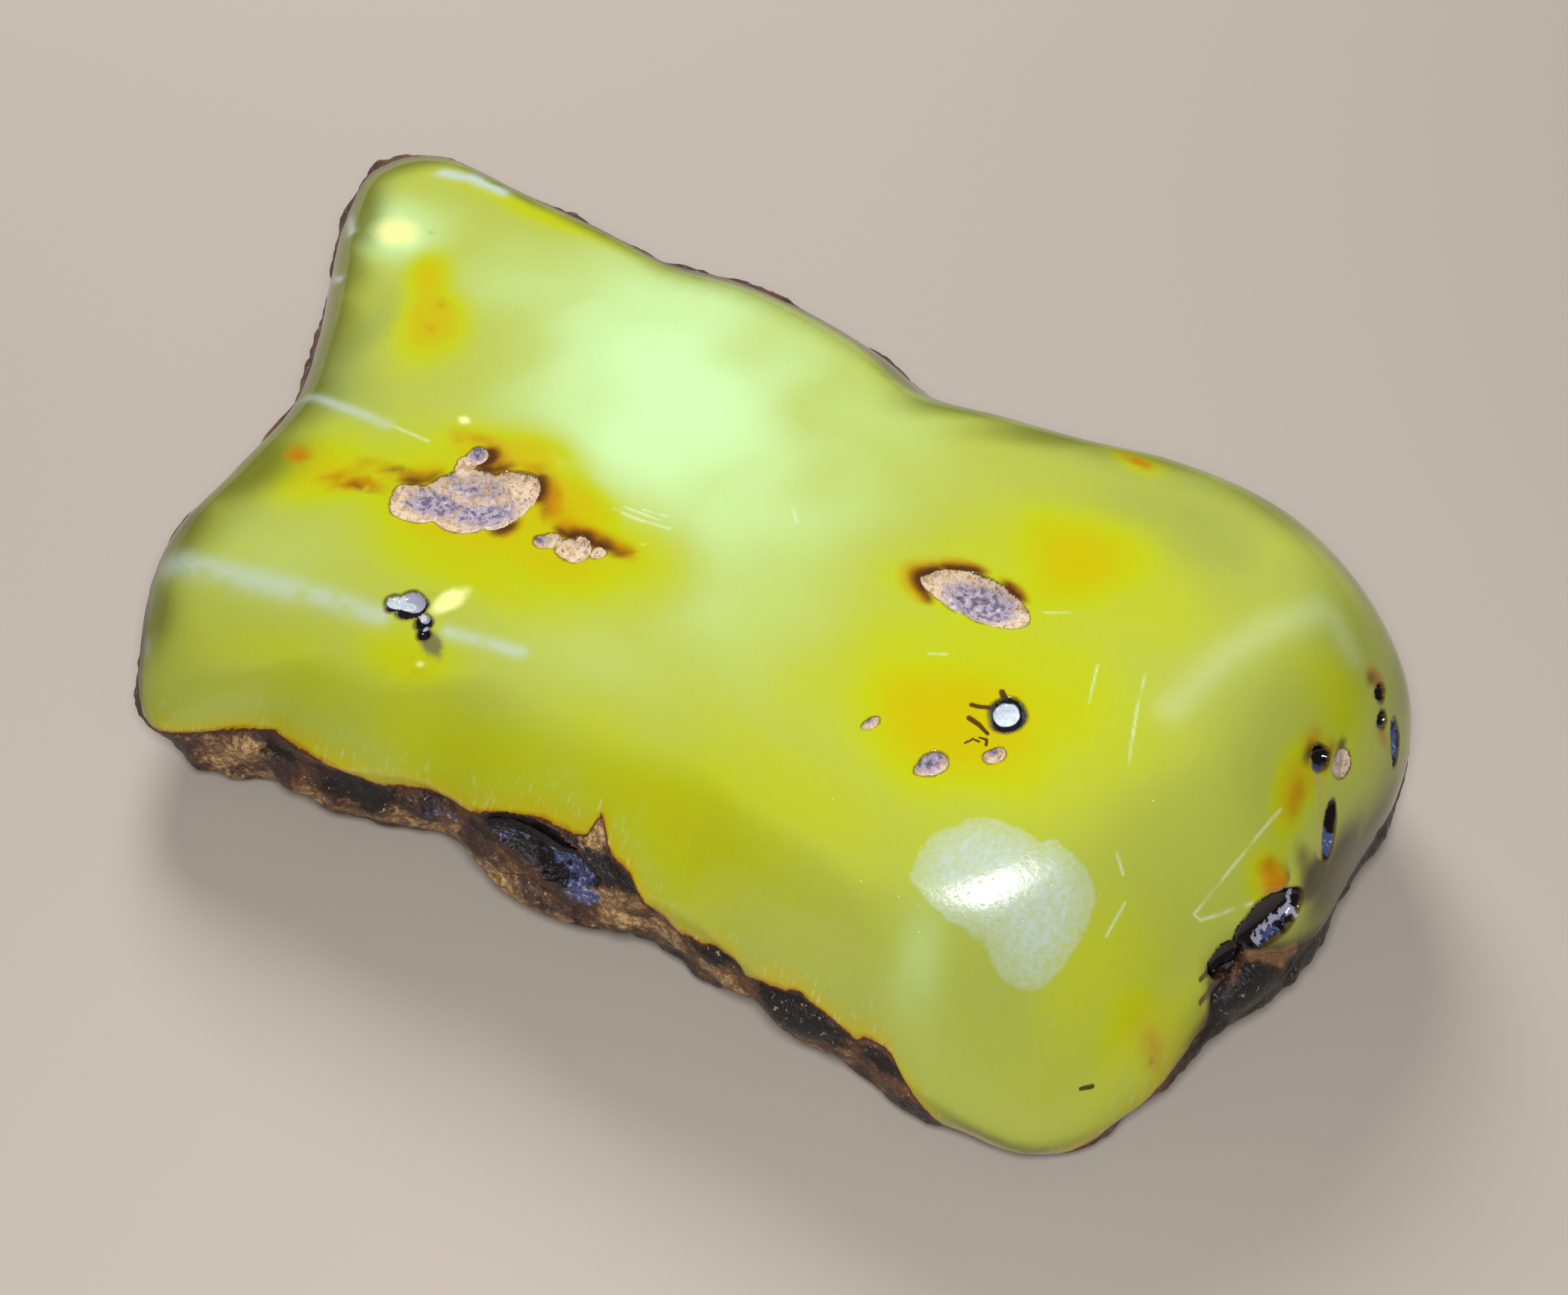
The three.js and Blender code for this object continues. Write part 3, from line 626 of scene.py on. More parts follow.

# %% [markdown]
# Colour in amber follows things that happened to it: oxidised skin, iron that crept in along
# cracks, and milky clouds of tiny bubbles. Some marks are painted light and shade instead: painted
# shade where the dome and its edges turn away from the lamp, and painted highlights, glints and
# reflections on the polish and in the holes. Each of those is stored as a number on every point of
# the mesh, such as how far outside a pit it is in millimetres. The material later turns these
# numbers into colours, and adds the fine ragged edges that the mesh is too coarse for. Marks on the
# dome are soft ovals, placed as they are seen from above, and laid like washes of paint.

# %% Soft zones on the dome
ZONES = {
    # x, y, half length, half width, turn, strength
    "cloud": [
        (-6.0, 6.0, 9.0, 6.0, -50, 1.0), (0.5, 2.0, 6.5, 5.5, -50, 0.6),
        (-9.0, 10.5, 7.0, 4.0, -10, 0.7), (3.0, -3.0, 5.0, 4.0, -70, 0.35),
        (-24.1, 10.2, 3.4, 2.6, -30, 0.75), (2.5, 8.0, 6.0, 4.0, -20, 0.35),
        (-14.0, 9.5, 6.0, 4.0, -10, 0.45), (-1.5, -8.0, 5.0, 2.5, 0, 0.2),
        (16.8, -13.0, 1.2, 1.8, 10, 0.4), (-17.0, -9.0, 4.0, 2.5, 0, 0.2),
    ],
    # Painted shade: darker olive where the dome turns away from the lamp, towards its edges.
    "shade": [
        (17.5, 8.5, 6.0, 3.5, -15, 0.5), (20.0, -12.0, 4.0, 2.5, 0, 0.35),
        (-20.5, 0.5, 2.4, 4.5, 15, 0.8), (-20.0, -8.0, 3.0, 2.4, 0, 0.35),
        (-18.0, -12.5, 6.0, 2.2, 0, 0.25), (13.0, 11.5, 9.0, 2.0, 0, 0.55),
        (24.5, 8.5, 4.0, 4.0, -40, 0.35), (24.0, 1.0, 3.0, 4.0, 0, 0.3),
        (20.0, -14.0, 3.0, 1.2, 0, 0.25),
    ],
    "honey": [
        (14.5, -3.0, 7.5, 7.0, 0, 0.75), (14.5, 3.5, 6.0, 5.0, 20, 0.7),
        (14.3, -4.6, 4.8, 3.4, 20, 1.55), (14.4, 4.8, 3.5, 3.3, 10, 1.3),
        (11.3, 1.0, 3.6, 1.8, 5, 1.1), (9.0, -10.5, 7.0, 3.0, 0, 0.5),
        (-10.5, -4.0, 7.0, 3.0, 0, 1.3), (-5.5, -4.0, 5.0, 2.6, 0, 1.2),
        (-17.0, -4.6, 3.5, 1.8, 10, 1.1), (-10.5, -0.8, 3.6, 1.6, 10, 1.5),
        (-6.2, -2.2, 3.4, 1.6, -20, 1.5), (-9.0, -6.5, 6.0, 2.0, 0, 0.9),
        (-20.2, 7.4, 2.6, 1.3, -55, 1.3), (-18.5, 5.0, 2.6, 1.6, -60, 1.8),
        (-8.5, -11.2, 3.0, 1.4, 0, 0.8), (-13.0, -13.0, 8.0, 1.8, 2, 0.45),
        (-4.0, -13.0, 7.0, 1.8, 0, 0.75), (5.0, -12.2, 7.0, 2.4, -3, 0.8),
        (26.6, 0.9, 0.9, 2.2, 0, 1.5), (27.0, -2.7, 0.9, 1.1, -40, 1.4),
        (26.2, 5.0, 1.8, 2.6, 0, 0.7),
        (25.6, -9.5, 1.2, 3.4, -15, 1.0), (23.5, -10.0, 2.5, 4.0, -15, 0.5),
        (-18.0, 14.6, 7.0, 1.0, -5, 0.8), (13.8, 11.6, 1.6, 0.8, -10, 1.0),
        (-22.7, -5.7, 0.7, 1.3, 0, 1.4),
    ],
    "orange": [
        (-18.75, 6.3, 0.6, 0.7, 0, 0.55), (-18.3, 4.5, 0.8, 0.45, -20, 0.55),
        (-16.0, -4.7, 1.8, 0.5, 8, 1.0), (-15.3, -3.5, 1.6, 0.5, 5, 0.75),
        (-12.2, -0.4, 1.6, 0.5, 5, 0.6), (-13.1, -0.8, 0.6, 0.35, 0, 0.7),
        (-9.0, -0.9, 1.2, 0.5, 10, 0.6), (-7.3, -2.4, 1.4, 0.8, -45, 0.85),
        (-5.2, -3.0, 1.8, 0.5, -5, 0.7), (-2.9, -3.2, 0.8, 0.5, 0, 0.8),
        (14.0, 11.5, 1.0, 0.35, -15, 0.9), (26.7, 0.5, 0.5, 1.2, 10, 0.65),
        (27.1, 7.6, 0.6, 0.6, 0, 0.9), (28.2, 6.2, 0.5, 0.5, 0, 0.7),
        (-19.3, -4.3, 0.8, 0.45, 0, 1.1), (-22.6, -4.6, 0.5, 0.8, 0, 1.3),
        (27.0, -2.5, 0.6, 0.8, -40, 0.95), (27.0, -8.6, 0.35, 2.2, -5, 1.2),
        (25.7, -10.0, 0.7, 0.8, 0, 0.6), (-8.0, -11.5, 0.35, 0.35, 0, 0.5),
        (-9.4, -8.4, 0.6, 0.3, 20, 0.4), (26.1, 2.6, 0.4, 0.8, 0, 0.7),
    ],
    "rust": [
        (27.3, -2.05, 0.3, 0.3, 0, 0.6), (26.75, -2.3, 0.3, 0.25, 0, 0.35),
        (-15.6, -4.85, 1.5, 0.3, 5, 0.7), (-14.3, -3.35, 1.4, 0.3, 8, 0.75),
        (-11.1, -1.2, 0.35, 0.9, 0, 0.8), (-7.4, -2.6, 1.0, 0.35, -50, 0.55),
        (-4.4, -3.0, 1.4, 0.28, -5, 0.75), (-3.0, -3.3, 0.6, 0.35, 30, 0.8),
        (14.3, 11.4, 0.5, 0.16, -15, 0.7), (26.3, 2.2, 0.3, 0.7, 0, 0.9),
        (27.9, -0.9, 0.8, 0.7, -20, 0.7), (25.7, -10.2, 0.15, 0.2, 0, 0.8),
        (26.9, 7.3, 0.35, 0.6, 0, 0.7), (27.0, 3.7, 0.2, 0.7, 0, 0.9),
    ],
    "smear": [
        (-8.1, -10.35, 0.85, 0.42, -28, 1.2), (-22.8, 10.8, 0.35, 0.2, 40, 0.8),
        (13.4, -5.4, 0.08, 0.08, 0, 1.2),
    ],
    "scorched": [
        (-13.6, -3.2, 1.2, 0.8, 20, 0.9), (-10.9, -1.2, 0.9, 0.8, 0, 1.2),
        (-8.0, -1.8, 0.9, 0.9, 0, 1.2), (-8.3, -4.2, 0.8, 0.6, 60, 0.8),
        (-5.6, -3.2, 1.0, 0.5, 0, 1.0), (-4.0, -3.0, 1.4, 0.5, 0, 1.2),
        (9.0, 1.1, 0.9, 1.2, 0, 1.5), (10.2, 2.2, 1.2, 0.5, 10, 1.1),
        (12.8, 2.1, 1.0, 0.4, -20, 0.9), (9.6, 0.0, 0.6, 0.4, -20, 0.9),
        (26.4, 2.2, 0.6, 1.3, 0, 1.2), (27.2, 7.6, 0.8, 0.8, 0, 1.2),
    ],
    "glow": [
        (-13.4, 0.25, 0.35, 0.25, 0, 1.0), (-8.5, -8.4, 0.85, 0.5, 60, 1.4),
        (-8.0, -11.3, 0.13, 0.13, 0, 1.1), (-24.1, 10.2, 1.5, 1.2, -30, 0.9),
        (-7.9, -0.2, 1.5, 0.4, -30, 0.4), (-2.4, -2.6, 0.12, 0.12, 0, 1.0),
        (13.7, -8.6, 0.12, 0.1, 0, 1.1), (16.6, 1.0, 0.14, 0.1, 0, 1.0),
    ],
    "heart": [
        (-12.03, -4.18, 1.3, 0.6, 15, 1.2), (-9.73, -3.68, 1.3, 0.7, 35, 1.1),
        (-10.93, -2.78, 1.8, 0.8, 20, 0.6), (-11.83, -1.03, 0.4, 0.4, 0, 1.2),
        (-6.63, -3.98, 0.4, 0.25, 20, 0.7), (11.77, 1.07, 1.5, 0.75, 3, 1.4),
        (13.62, -6.73, 0.7, 0.5, 55, 1.2), (15.67, -5.28, 0.24, 0.15, 40, 1.4),
        (10.57, -6.18, 0.25, 0.15, 60, 1.2), (27.37, 3.52, 0.5, 0.7, 0, 0.45),
    ],
    # Painted light in the shiny holes, and painted glints in the pits at the right end.
    "lilac": [
        (28.6, 7.0, 0.5, 1.0, 0, 0.8), (27.95, 6.5, 0.4, 0.3, 0, 0.9), (27.5, 7.1, 0.25, 0.3, 0, 0.8),
        (26.9, 2.2, 0.3, 0.3, 0, 1.2), (28.25, 0.7, 0.3, 0.5, 0, 0.7), (28.0, -3.3, 0.25, 1.1, -21, 0.6),
        (-10.05, -8.86, 0.55, 0.5, 0, 1.5), (-9.1, -9.36, 0.3, 0.28, 0, 1.4),
        (-8.8, -9.81, 0.16, 0.16, 0, 1.4),
    ],
    # Painted highlights in the shiny holes.
    "pearl": [
        (15.32, -3.38, 0.56, 0.54, 0, 1.5), (-10.75, -9.15, 0.42, 0.38, 0, 1.6),
        (-10.2, -9.16, 0.4, 0.22, 20, 1.3), (-9.15, -9.41, 0.16, 0.14, 0, 1.2),
    ],
    # The frosted patch: rougher, and whitened partly as frost and partly as a painted highlight.
    "frost": [
        (20.2, -9.65, 2.3, 2.3, 0, 1.0), (17.9, -9.9, 2.7, 2.0, 10, 1.0),
    ],
    "scuff": [
        (15.0, -13.4, 6.0, 1.6, 0, 0.8), (2.0, -12.8, 9.0, 1.2, 0, 0.6), (21.5, -11.0, 3.0, 3.0, 0, 0.7),
    ],
}
print("zones on the dome:", sum(len(zones) for zones in ZONES.values()))

# %% [markdown]
# The wall is too steep to be laid out from above, so its zones count places along the outline and
# millimetres below the rim. A number below zero lies above the rim, where the far edge of the dome
# turns away from the light.

# %% Soft zones on the wall and along the far edge
WALL_ZONES = {
    # place, mm below the rim, half length in places, half height, strength
    "gold": [
        (24.9, 0.8, 0.45, 0.8, 1.0), (25.2, 3.8, 0.7, 0.9, 1.0), (27.3, 3.6, 0.9, 1.2, 1.0),
        (24.6, 2.4, 0.4, 0.8, 0.6), (29.1, 1.2, 0.35, 0.9, 0.9), (29.6, 2.4, 0.5, 0.8, 0.9),
        (28.97, -2.2, 0.12, 1.1, 1.3), (30.4, 2.3, 0.4, 0.6, 0.8), (31.7, 2.9, 0.5, 0.8, 0.7),
        (28.0, 4.5, 1.2, 0.8, 0.7),
    ],
    # Near-black crust: dark glossy skin, and painted shade in undercuts and in the gap above the lower
    # lip.
    "dark_skin_and_shade": [
        (25.6, 1.0, 0.45, 0.6, 1.0), (26.25, 1.6, 0.3, 1.6, 1.2), (26.8, 1.6, 0.5, 1.1, 0.6),
        (28.4, -0.3, 0.75, 1.3, 1.4), (29.35, -0.3, 0.25, 0.8, 0.9), (30.25, 1.0, 0.3, 0.7, 1.0),
        (31.4, 0.3, 0.6, 1.1, 1.4), (32.3, 0.2, 0.3, 0.6, 1.2), (33.0, 1.6, 0.7, 1.0, 1.0),
        (36.4, 0.0, 0.8, 3.2, 1.4), (37.4, 0.0, 0.6, 1.6, 1.2), (0.4, 0.8, 0.8, 1.0, 1.0),
        (29.5, 4.8, 0.8, 0.8, 1.0), (27.7, 0.9, 0.25, 0.6, 1.0),
    ],
    # Painted glints: blue flecks where the glossy cavities catch the lamp.
    "slate": [
        (28.2, 0.9, 0.4, 0.5, 0.6), (28.65, 0.9, 0.3, 0.7, 1.0), (28.9, 1.8, 0.22, 0.8, 1.2),
        (27.3, 1.4, 0.5, 0.5, 0.5), (37.66, -3.7, 0.08, 0.6, 1.4), (0.95, -3.6, 0.12, 0.8, 1.3),
    ],
    # Painted shade: dim olive inside the far and left edges, where they turn away from the lamp.
    "dim": [
        (17.0, -3.4, 1.0, 2.3, 1.3), (18.0, -3.6, 1.0, 2.4, 1.3), (19.0, -4.1, 1.0, 2.2, 1.2),
        (20.1, -4.2, 0.9, 1.8, 1.2), (21.2, -4.3, 0.8, 2.3, 1.2), (22.0, -3.2, 0.7, 2.2, 1.1),
        (22.8, -2.0, 0.6, 1.8, 0.9), (15.6, -3.0, 1.2, 1.6, 1.1), (14.2, -4.2, 1.0, 1.4, 0.9),
        (13.0, -4.8, 1.0, 1.2, 0.8), (11.5, -5.0, 1.2, 0.9, 0.8), (9.8, -4.9, 1.0, 0.8, 0.8),
        (8.3, -5.6, 0.8, 1.0, 1.2), (7.3, -6.9, 0.9, 1.2, 0.9), (6.0, -7.8, 1.0, 1.7, 0.8),
        (4.9, -7.9, 1.2, 1.6, 0.7), (3.8, -7.5, 1.0, 1.8, 0.7), (2.9, -6.3, 0.8, 1.8, 0.7),
        (2.0, -3.6, 0.9, 2.0, 0.6), (0.8, -2.5, 0.9, 1.6, 0.5),
    ],
    # Painted shade: dark brown along the far and left edges and round the right end, where the surface
    # turns away from the lamp, over brown crust at the right end.
    "brown_shade": [
        (17.5, -1.8, 1.5, 1.0, 1.1), (19.4, -2.7, 1.0, 1.0, 1.2), (20.3, -3.1, 0.5, 1.3, 1.2),
        (21.8, -2.3, 0.35, 1.5, 1.2), (15.7, -2.0, 0.9, 1.3, 0.8), (14.0, -3.1, 1.4, 0.7, 0.8),
        (8.6, -4.9, 0.9, 0.9, 1.3), (9.9, -4.4, 0.6, 0.6, 0.9), (7.6, -6.0, 0.4, 0.7, 0.7),
        (37.35, -3.5, 0.3, 1.0, 1.1), (37.65, -2.3, 0.6, 1.6, 1.1), (0.2, -0.9, 1.0, 1.6, 1.0),
        (1.6, -0.6, 1.0, 1.2, 0.9), (33.6, 0.4, 1.2, 0.8, 0.6),
    ],
}
print("zones on the wall:", sum(len(zones) for zones in WALL_ZONES.values()))

# %% [markdown]
# Each zone fades out like a drop of ink. Where two zones of one kind meet, the stronger one counts,
# so that a stain drawn with three drops doesn't show where they overlap. Slow waves shift the ovals
# a little, because nothing in amber is a true oval.

# %% Turn zones and lines into marks on the points
NEAR_SIDE_STARTS = (23.2, 24.2)
NEAR_SIDE_ENDS = (35.2, 36.2)


def soft_spot(along, across, strength):
    return strength * np.exp(-(along**2 + across**2))


def dome_zone(spots, zones, ragged=0.25):
    x, y = 0.9 * spots.T
    drift = ragged * np.column_stack((wave(x, y, 1.0), wave(y, x, 2.5)))
    total = np.zeros(len(spots))
    for at_x, at_y, long_half, wide_half, turn, strength in zones:
        angle = math.radians(turn)
        offset = spots - (at_x, at_y) + drift * wide_half
        along = offset @ (math.cos(angle), math.sin(angle)) / long_half
        across = offset @ (-math.sin(angle), math.cos(angle)) / wide_half
        total = np.maximum(total, soft_spot(along, across, strength))
    return total


def wall_zone(place, low, zones):
    total = np.zeros(len(place))
    for at, depth, half_length, half_height, strength in zones:
        round_trip = (place - at + len(OUTLINE) / 2) % len(OUTLINE) - len(OUTLINE) / 2
        spot = soft_spot(round_trip / half_length, (low - depth) / half_height, strength)
        total = np.maximum(total, spot)
    return total


on_top = smoothstep(ways[:, 2], math.cos(RIM + 0.1), math.cos(RIM))
marks = {name: on_top * dome_zone(smooth_points[:, :2], zones) for name, zones in ZONES.items()}
place, low = place_of(ways), below_rim(ways, smooth_points)
for name, zones in WALL_ZONES.items():
    marks[name] = wall_zone(place, low, zones)
for name, lines in LINES.items():
    gaps_in_widths = [gap_to_line(smooth_points[:, :2], ends) / width for width, *ends in lines]
    marks[name] = on_top * np.exp(-(np.array(gaps_in_widths) ** 2)).max(axis=0)
marks["top"] = on_top
marks["near_side"] = smoothstep(place, *NEAR_SIDE_STARTS) - smoothstep(place, *NEAR_SIDE_ENDS)
marks["crust"] = np.clip(crust_gap, -FAR_AWAY, FAR_AWAY)
marks["dry_pit"] = gaps["c"]
marks["shiny_hole"] = gaps["s"]
marks["dark_cavity"] = gaps["d"]
print("marks on each point:", sorted(marks))

# %% [markdown]
# With its points and triangles known, the mesh takes one call. Smooth shading makes the polish look
# like glass, and the steep lips of the pits are marked sharp, so that they don't smear into it.

# %% Make the mesh
SHARP_LIP = math.radians(55)

mesh = bpy.data.meshes.new("raw_amber")
mesh.from_pydata(((points - MIDDLE) * MM).tolist(), [], faces.tolist())
mesh.shade_smooth()
mesh.set_sharp_from_angle(angle=SHARP_LIP)
for name, values in marks.items():
    attribute = mesh.attributes.new(name, "FLOAT", "POINT")
    attribute.data.foreach_set("value", values.astype(np.float32))
mesh.validate()
amber = bpy.data.objects.new("raw_amber", mesh)
bpy.context.scene.collection.objects.link(amber)
print("raw_amber:", len(mesh.vertices), "points,", len(mesh.polygons), "triangles")

# %% [markdown]
# A material is a web of small steps, and most of the steps are arithmetic. Blender draws each step
# as a node. Writing them one by one hides the formula, so this class wraps the output of a node
# and lets Python's own signs add the Math nodes. Colours go through Mix nodes instead, because a
# Math node would turn them grey.

# %% Arithmetic for shader nodes
class Wire:
    """The output of a node, which adds a Math node when it is used in a sum."""

    def __init__(self, shader, socket):
        self.shader = shader
        self.socket = socket

    def __add__(self, other):
        return self.shader.maths("ADD", self, other)

    def __radd__(self, other):
        return self.shader.maths("ADD", other, self)

    def __sub__(self, other):
        return self.shader.maths("SUBTRACT", self, other)

    def __rsub__(self, other):
        return self.shader.maths("SUBTRACT", other, self)

    def __mul__(self, other):
        return self.shader.maths("MULTIPLY", self, other)

    def __rmul__(self, other):
        return self.shader.maths("MULTIPLY", other, self)


class Shader:
    """A material's node tree."""

    def __init__(self, name):
        self.material = bpy.data.materials.new(name)
        self.material.use_nodes = True
        self.tree = self.material.node_tree
        self.tree.nodes.clear()

    def node(self, kind, settings=None, output=0, **sockets):
        made = self.tree.nodes.new(kind)
        for name, value in (settings or {}).items():
            setattr(made, name, value)
        for name, value in sockets.items():
            key = int(name[1:]) if name[1:].isdigit() else name.replace("_", " ")
            socket = made.inputs[key]
            if isinstance(value, Wire):
                self.tree.links.new(value.socket, socket)
            else:
                socket.default_value = value
        return None if output is None else Wire(self, made.outputs[output])

    def maths(self, operation, first, second):
        return self.node("ShaderNodeMath", {"operation": operation}, i0=first, i1=second)

    def most(self, first, second):
        return self.maths("MAXIMUM", first, second)

    def step(self, value, low, high):
        settings = {"interpolation_type": "SMOOTHSTEP"}
        sockets = {"Value": value, "From_Min": low, "From_Max": high}
        return self.node("ShaderNodeMapRange", settings, **sockets)

    def mix(self, share, first, second):
        settings = {"data_type": "RGBA"}
        return self.node("ShaderNodeMix", settings, output=2, i0=share, i6=first, i7=second)

    def mark(self, name):
        return self.node("ShaderNodeAttribute", {"attribute_name": name}, output=2)

    def finish(self, surface):
        self.node("ShaderNodeOutputMaterial", {"is_active_output": True}, output=None, Surface=surface)

    def noise(self, where, per_mm, detail=2.0, roughness=0.5):
        sockets = {"Vector": where, "Scale": per_mm, "Detail": detail, "Roughness": roughness}
        return self.node("ShaderNodeTexNoise", **sockets)


# %% [markdown]
# One material covers the whole lump. Its patterns are worked out in millimetres, in the same
# coordinates as the outline, so every noise below is given in waves per millimetre. Three noises
# are used again and again: a slow swirl, ragged edges and fine grain.

# %% Start the material
shader = Shader("polished_amber_and_crust")
metres = shader.node("ShaderNodeTexCoord", output=3)
scaled = shader.node("ShaderNodeVectorMath", {"operation": "SCALE"}, Vector=metres, Scale=1 / MM)
where = shader.node("ShaderNodeVectorMath", {"operation": "ADD"}, i0=scaled, i1=tuple(MIDDLE))
swirl = shader.noise(where, 0.16, 3.0) - 0.5
ragged = shader.noise(where, 1.3, 3.0) - 0.5
grain = shader.noise(where, 5.0, 4.0, 0.6) - 0.5
print("nodes for the three noises:", len(shader.tree.nodes))

# %% [markdown]
# The polished amber is cloudy, so nothing is seen through it, and its colour carries the look:
# chartreuse, darker olive where shade is painted, milky mint in the cloud and honey yellow where
# iron has stained it. The soft zones are laid over each other like thin washes, each one blurred or
# torn at its edge by noise, and the scratches and cracks go on last. Painted shade darkens the far
# and left edges to dim olive and brown, and pale streaks, a crease sheen and glints are painted
# reflections. Colours are named where they are first used, as the share of red, green and blue
# light that a surface sends back.

# %% Polished amber
CHARTREUSE = (0.46, 0.52, 0.07, 1)
OLIVE = (0.25, 0.30, 0.09, 1)
DIM_OLIVE = (0.15, 0.165, 0.015, 1)
MINT = (0.62, 0.90, 0.44, 1)
LIME = (0.52, 0.57, 0.006, 1)
HONEY = (0.58, 0.49, 0.0, 1)
LEMON = (0.92, 0.92, 0.35, 1)
ORANGE = (0.50, 0.20, 0.0, 1)
RUST = (0.075, 0.022, 0.006, 1)
SHADE_BROWN = (0.045, 0.026, 0.010, 1)
SMOKE = (0.15, 0.13, 0.07, 1)
PALE = (0.74, 0.88, 0.60, 1)
ICE = (0.58, 0.70, 0.72, 1)

# Three of the marks below paint shade: olive on the dome, and dim olive and dark brown at the edges.
shade = shader.mark("shade") + swirl * 0.4
cloud = shader.mark("cloud") + swirl * 0.15
honey = shader.mark("honey") + swirl * 0.25
orange = shader.mark("orange") + ragged * 0.35
rust = shader.mark("rust") + ragged * 0.2 + grain * 0.1
brown_shade = shader.mark("brown_shade") + swirl * 0.2
faint = shader.noise(where, 0.8, 3.0)

colour = shader.mix(shader.step(shade, 0.0, 1.0), CHARTREUSE, OLIVE)
colour = shader.mix(shader.step(cloud, -0.05, 1.05), colour, MINT)
colour = shader.mix(shader.step(honey, 0.0, 0.8), colour, LIME)
colour = shader.mix(shader.step(honey, 0.6, 1.35), colour, HONEY)
colour = shader.mix(shader.step(shader.mark("dim") + swirl * 0.3, 0.05, 1.0) * 0.92, colour, DIM_OLIVE)
colour = shader.mix(shader.step(shader.mark("glow") + ragged * 0.3, 0.2, 0.9), colour, LEMON)
colour = shader.mix(shader.step(orange, 0.15, 1.0), colour, ORANGE)
# Painted shade: dark brown at the edges that turn away from the lamp.
colour = shader.mix(shader.step(brown_shade, 0.1, 0.9) * 0.92, colour, SHADE_BROWN)
colour = shader.mix(shader.step(rust, 0.2, 1.0) * 0.9, colour, RUST)
colour = shader.mix(shader.step(shader.mark("smear") + ragged * 0.4, 0.2, 0.9) * 0.85, colour, SMOKE)
# Painted reflections: a sheen along the right crease, pale streaks on the flats at the left and glints at
# the left edges.
colour = shader.mix(shader.mark("crease_sheen") * 0.22, colour, PALE)
colour = shader.mix(shader.mark("reflection_streak") * shader.step(faint, 0.1, 0.55) * 0.5, colour, ICE)
colour = shader.mix(shader.mark("glint") * shader.step(faint, 0.3, 0.6) * 0.75, colour, ICE)
colour = shader.mix(shader.mark("scratch") * shader.step(faint, 0.3, 0.55) * 0.65, colour, PALE)
colour = shader.mix(shader.step(shader.mark("crack") + ragged * 0.8, 0.3, 0.7) * 0.95, colour, RUST)
print("nodes with the polished amber:", len(shader.tree.nodes))

# %% [markdown]
# On the near side, the polish ends against the crust in honey and then a thin stain of orange. On
# the far side and the left end, painted shade darkens a broader band, dim olive and then dark
# brown, where the edge turns away from the lamp.

# %% Where the polish ends
crust_gap = shader.mark("crust") + ragged * 0.5 + grain * 0.15
crust = shader.step(crust_gap, -0.04, 0.06)
near_side = shader.mark("near_side")
honey_edge = shader.step(crust_gap, -1.6, -0.1) * near_side
orange_edge = shader.step(crust_gap, -0.3, 0.0) * near_side
# Painted shade along the far and left edges.
painted_dim_edge = shader.step(crust_gap, -2.6, 0.2) * (1 - near_side)
painted_dark_edge = shader.step(crust_gap, -0.9, -0.1) * (1 - near_side)
colour = shader.mix(honey_edge * 0.8, colour, HONEY)
colour = shader.mix(orange_edge * 0.9, colour, ORANGE)
colour = shader.mix(painted_dim_edge * 0.85, colour, DIM_OLIVE)
colour = shader.mix(painted_dark_edge * 0.95, colour, SHADE_BROWN)
print("nodes with the edge of the polish:", len(shader.tree.nodes))

# %% [markdown]
# The weathered crust is a patchwork. Dry granular patches are gold, old resin skin is brown or
# plum, and dark glossy skin is nearly black; the same black is painted shade where the surface runs
# deep into undercuts and hollows. Each patch is a mark on the points, broken up by noise. Blue
# flecks in the cavities and cream specks over all of the crust are painted glints. A dark line runs
# along its upper edge.

# %% Weathered crust
CRUST_GOLD = (0.66, 0.44, 0.20, 1)
CRUST_TAN = (0.27, 0.13, 0.045, 1)
CRUST_BROWN = (0.14, 0.055, 0.02, 1)
CRUST_PLUM = (0.06, 0.026, 0.02, 1)
CRUST_BLACK = (0.006, 0.003, 0.003, 1)
CAVITY_SLATE = (0.07, 0.09, 0.24, 1)
HOLE_LILAC = (0.50, 0.50, 0.66, 1)
PIT_CREAM = (0.86, 0.67, 0.45, 1)

patches = shader.noise(where, 0.55, 3.0, 0.6)
flecks = shader.noise(where, 2.6, 5.0, 0.65)
grit = shader.noise(where, 4.2, 3.0, 0.65)
gold = shader.mark("gold") * 1.1 + (flecks - 0.5) * 1.2 + (patches - 0.53) * 2.0
# Nearly black: dark glossy skin, and painted shade where the crust runs deep.
dark_skin_and_shade = shader.mark("dark_skin_and_shade") * 1.2 + (0.5 - flecks) * 1.4 + (0.45 - patches) * 2.0
# Painted glints: blue flecks in the cavities.
slate = shader.mark("slate") + (flecks - 0.5) * 2.4
gold_colour = shader.mix(shader.step(grit, 0.4, 0.62), CRUST_TAN, CRUST_GOLD)
slate_colour = shader.mix(shader.step(grit, 0.5, 0.68), CAVITY_SLATE, HOLE_LILAC)
brown = shader.step(patches + (grit - 0.5) * 0.6, 0.42, 0.62)
crust_colour = shader.mix(brown, CRUST_PLUM, CRUST_BROWN)
crust_colour = shader.mix(shader.step(gold, 0.1, 0.85), crust_colour, gold_colour)
crust_colour = shader.mix(shader.step(dark_skin_and_shade, 0.2, 0.75), crust_colour, CRUST_BLACK)
crust_colour = shader.mix(shader.step(slate, 0.45, 0.9), crust_colour, slate_colour)
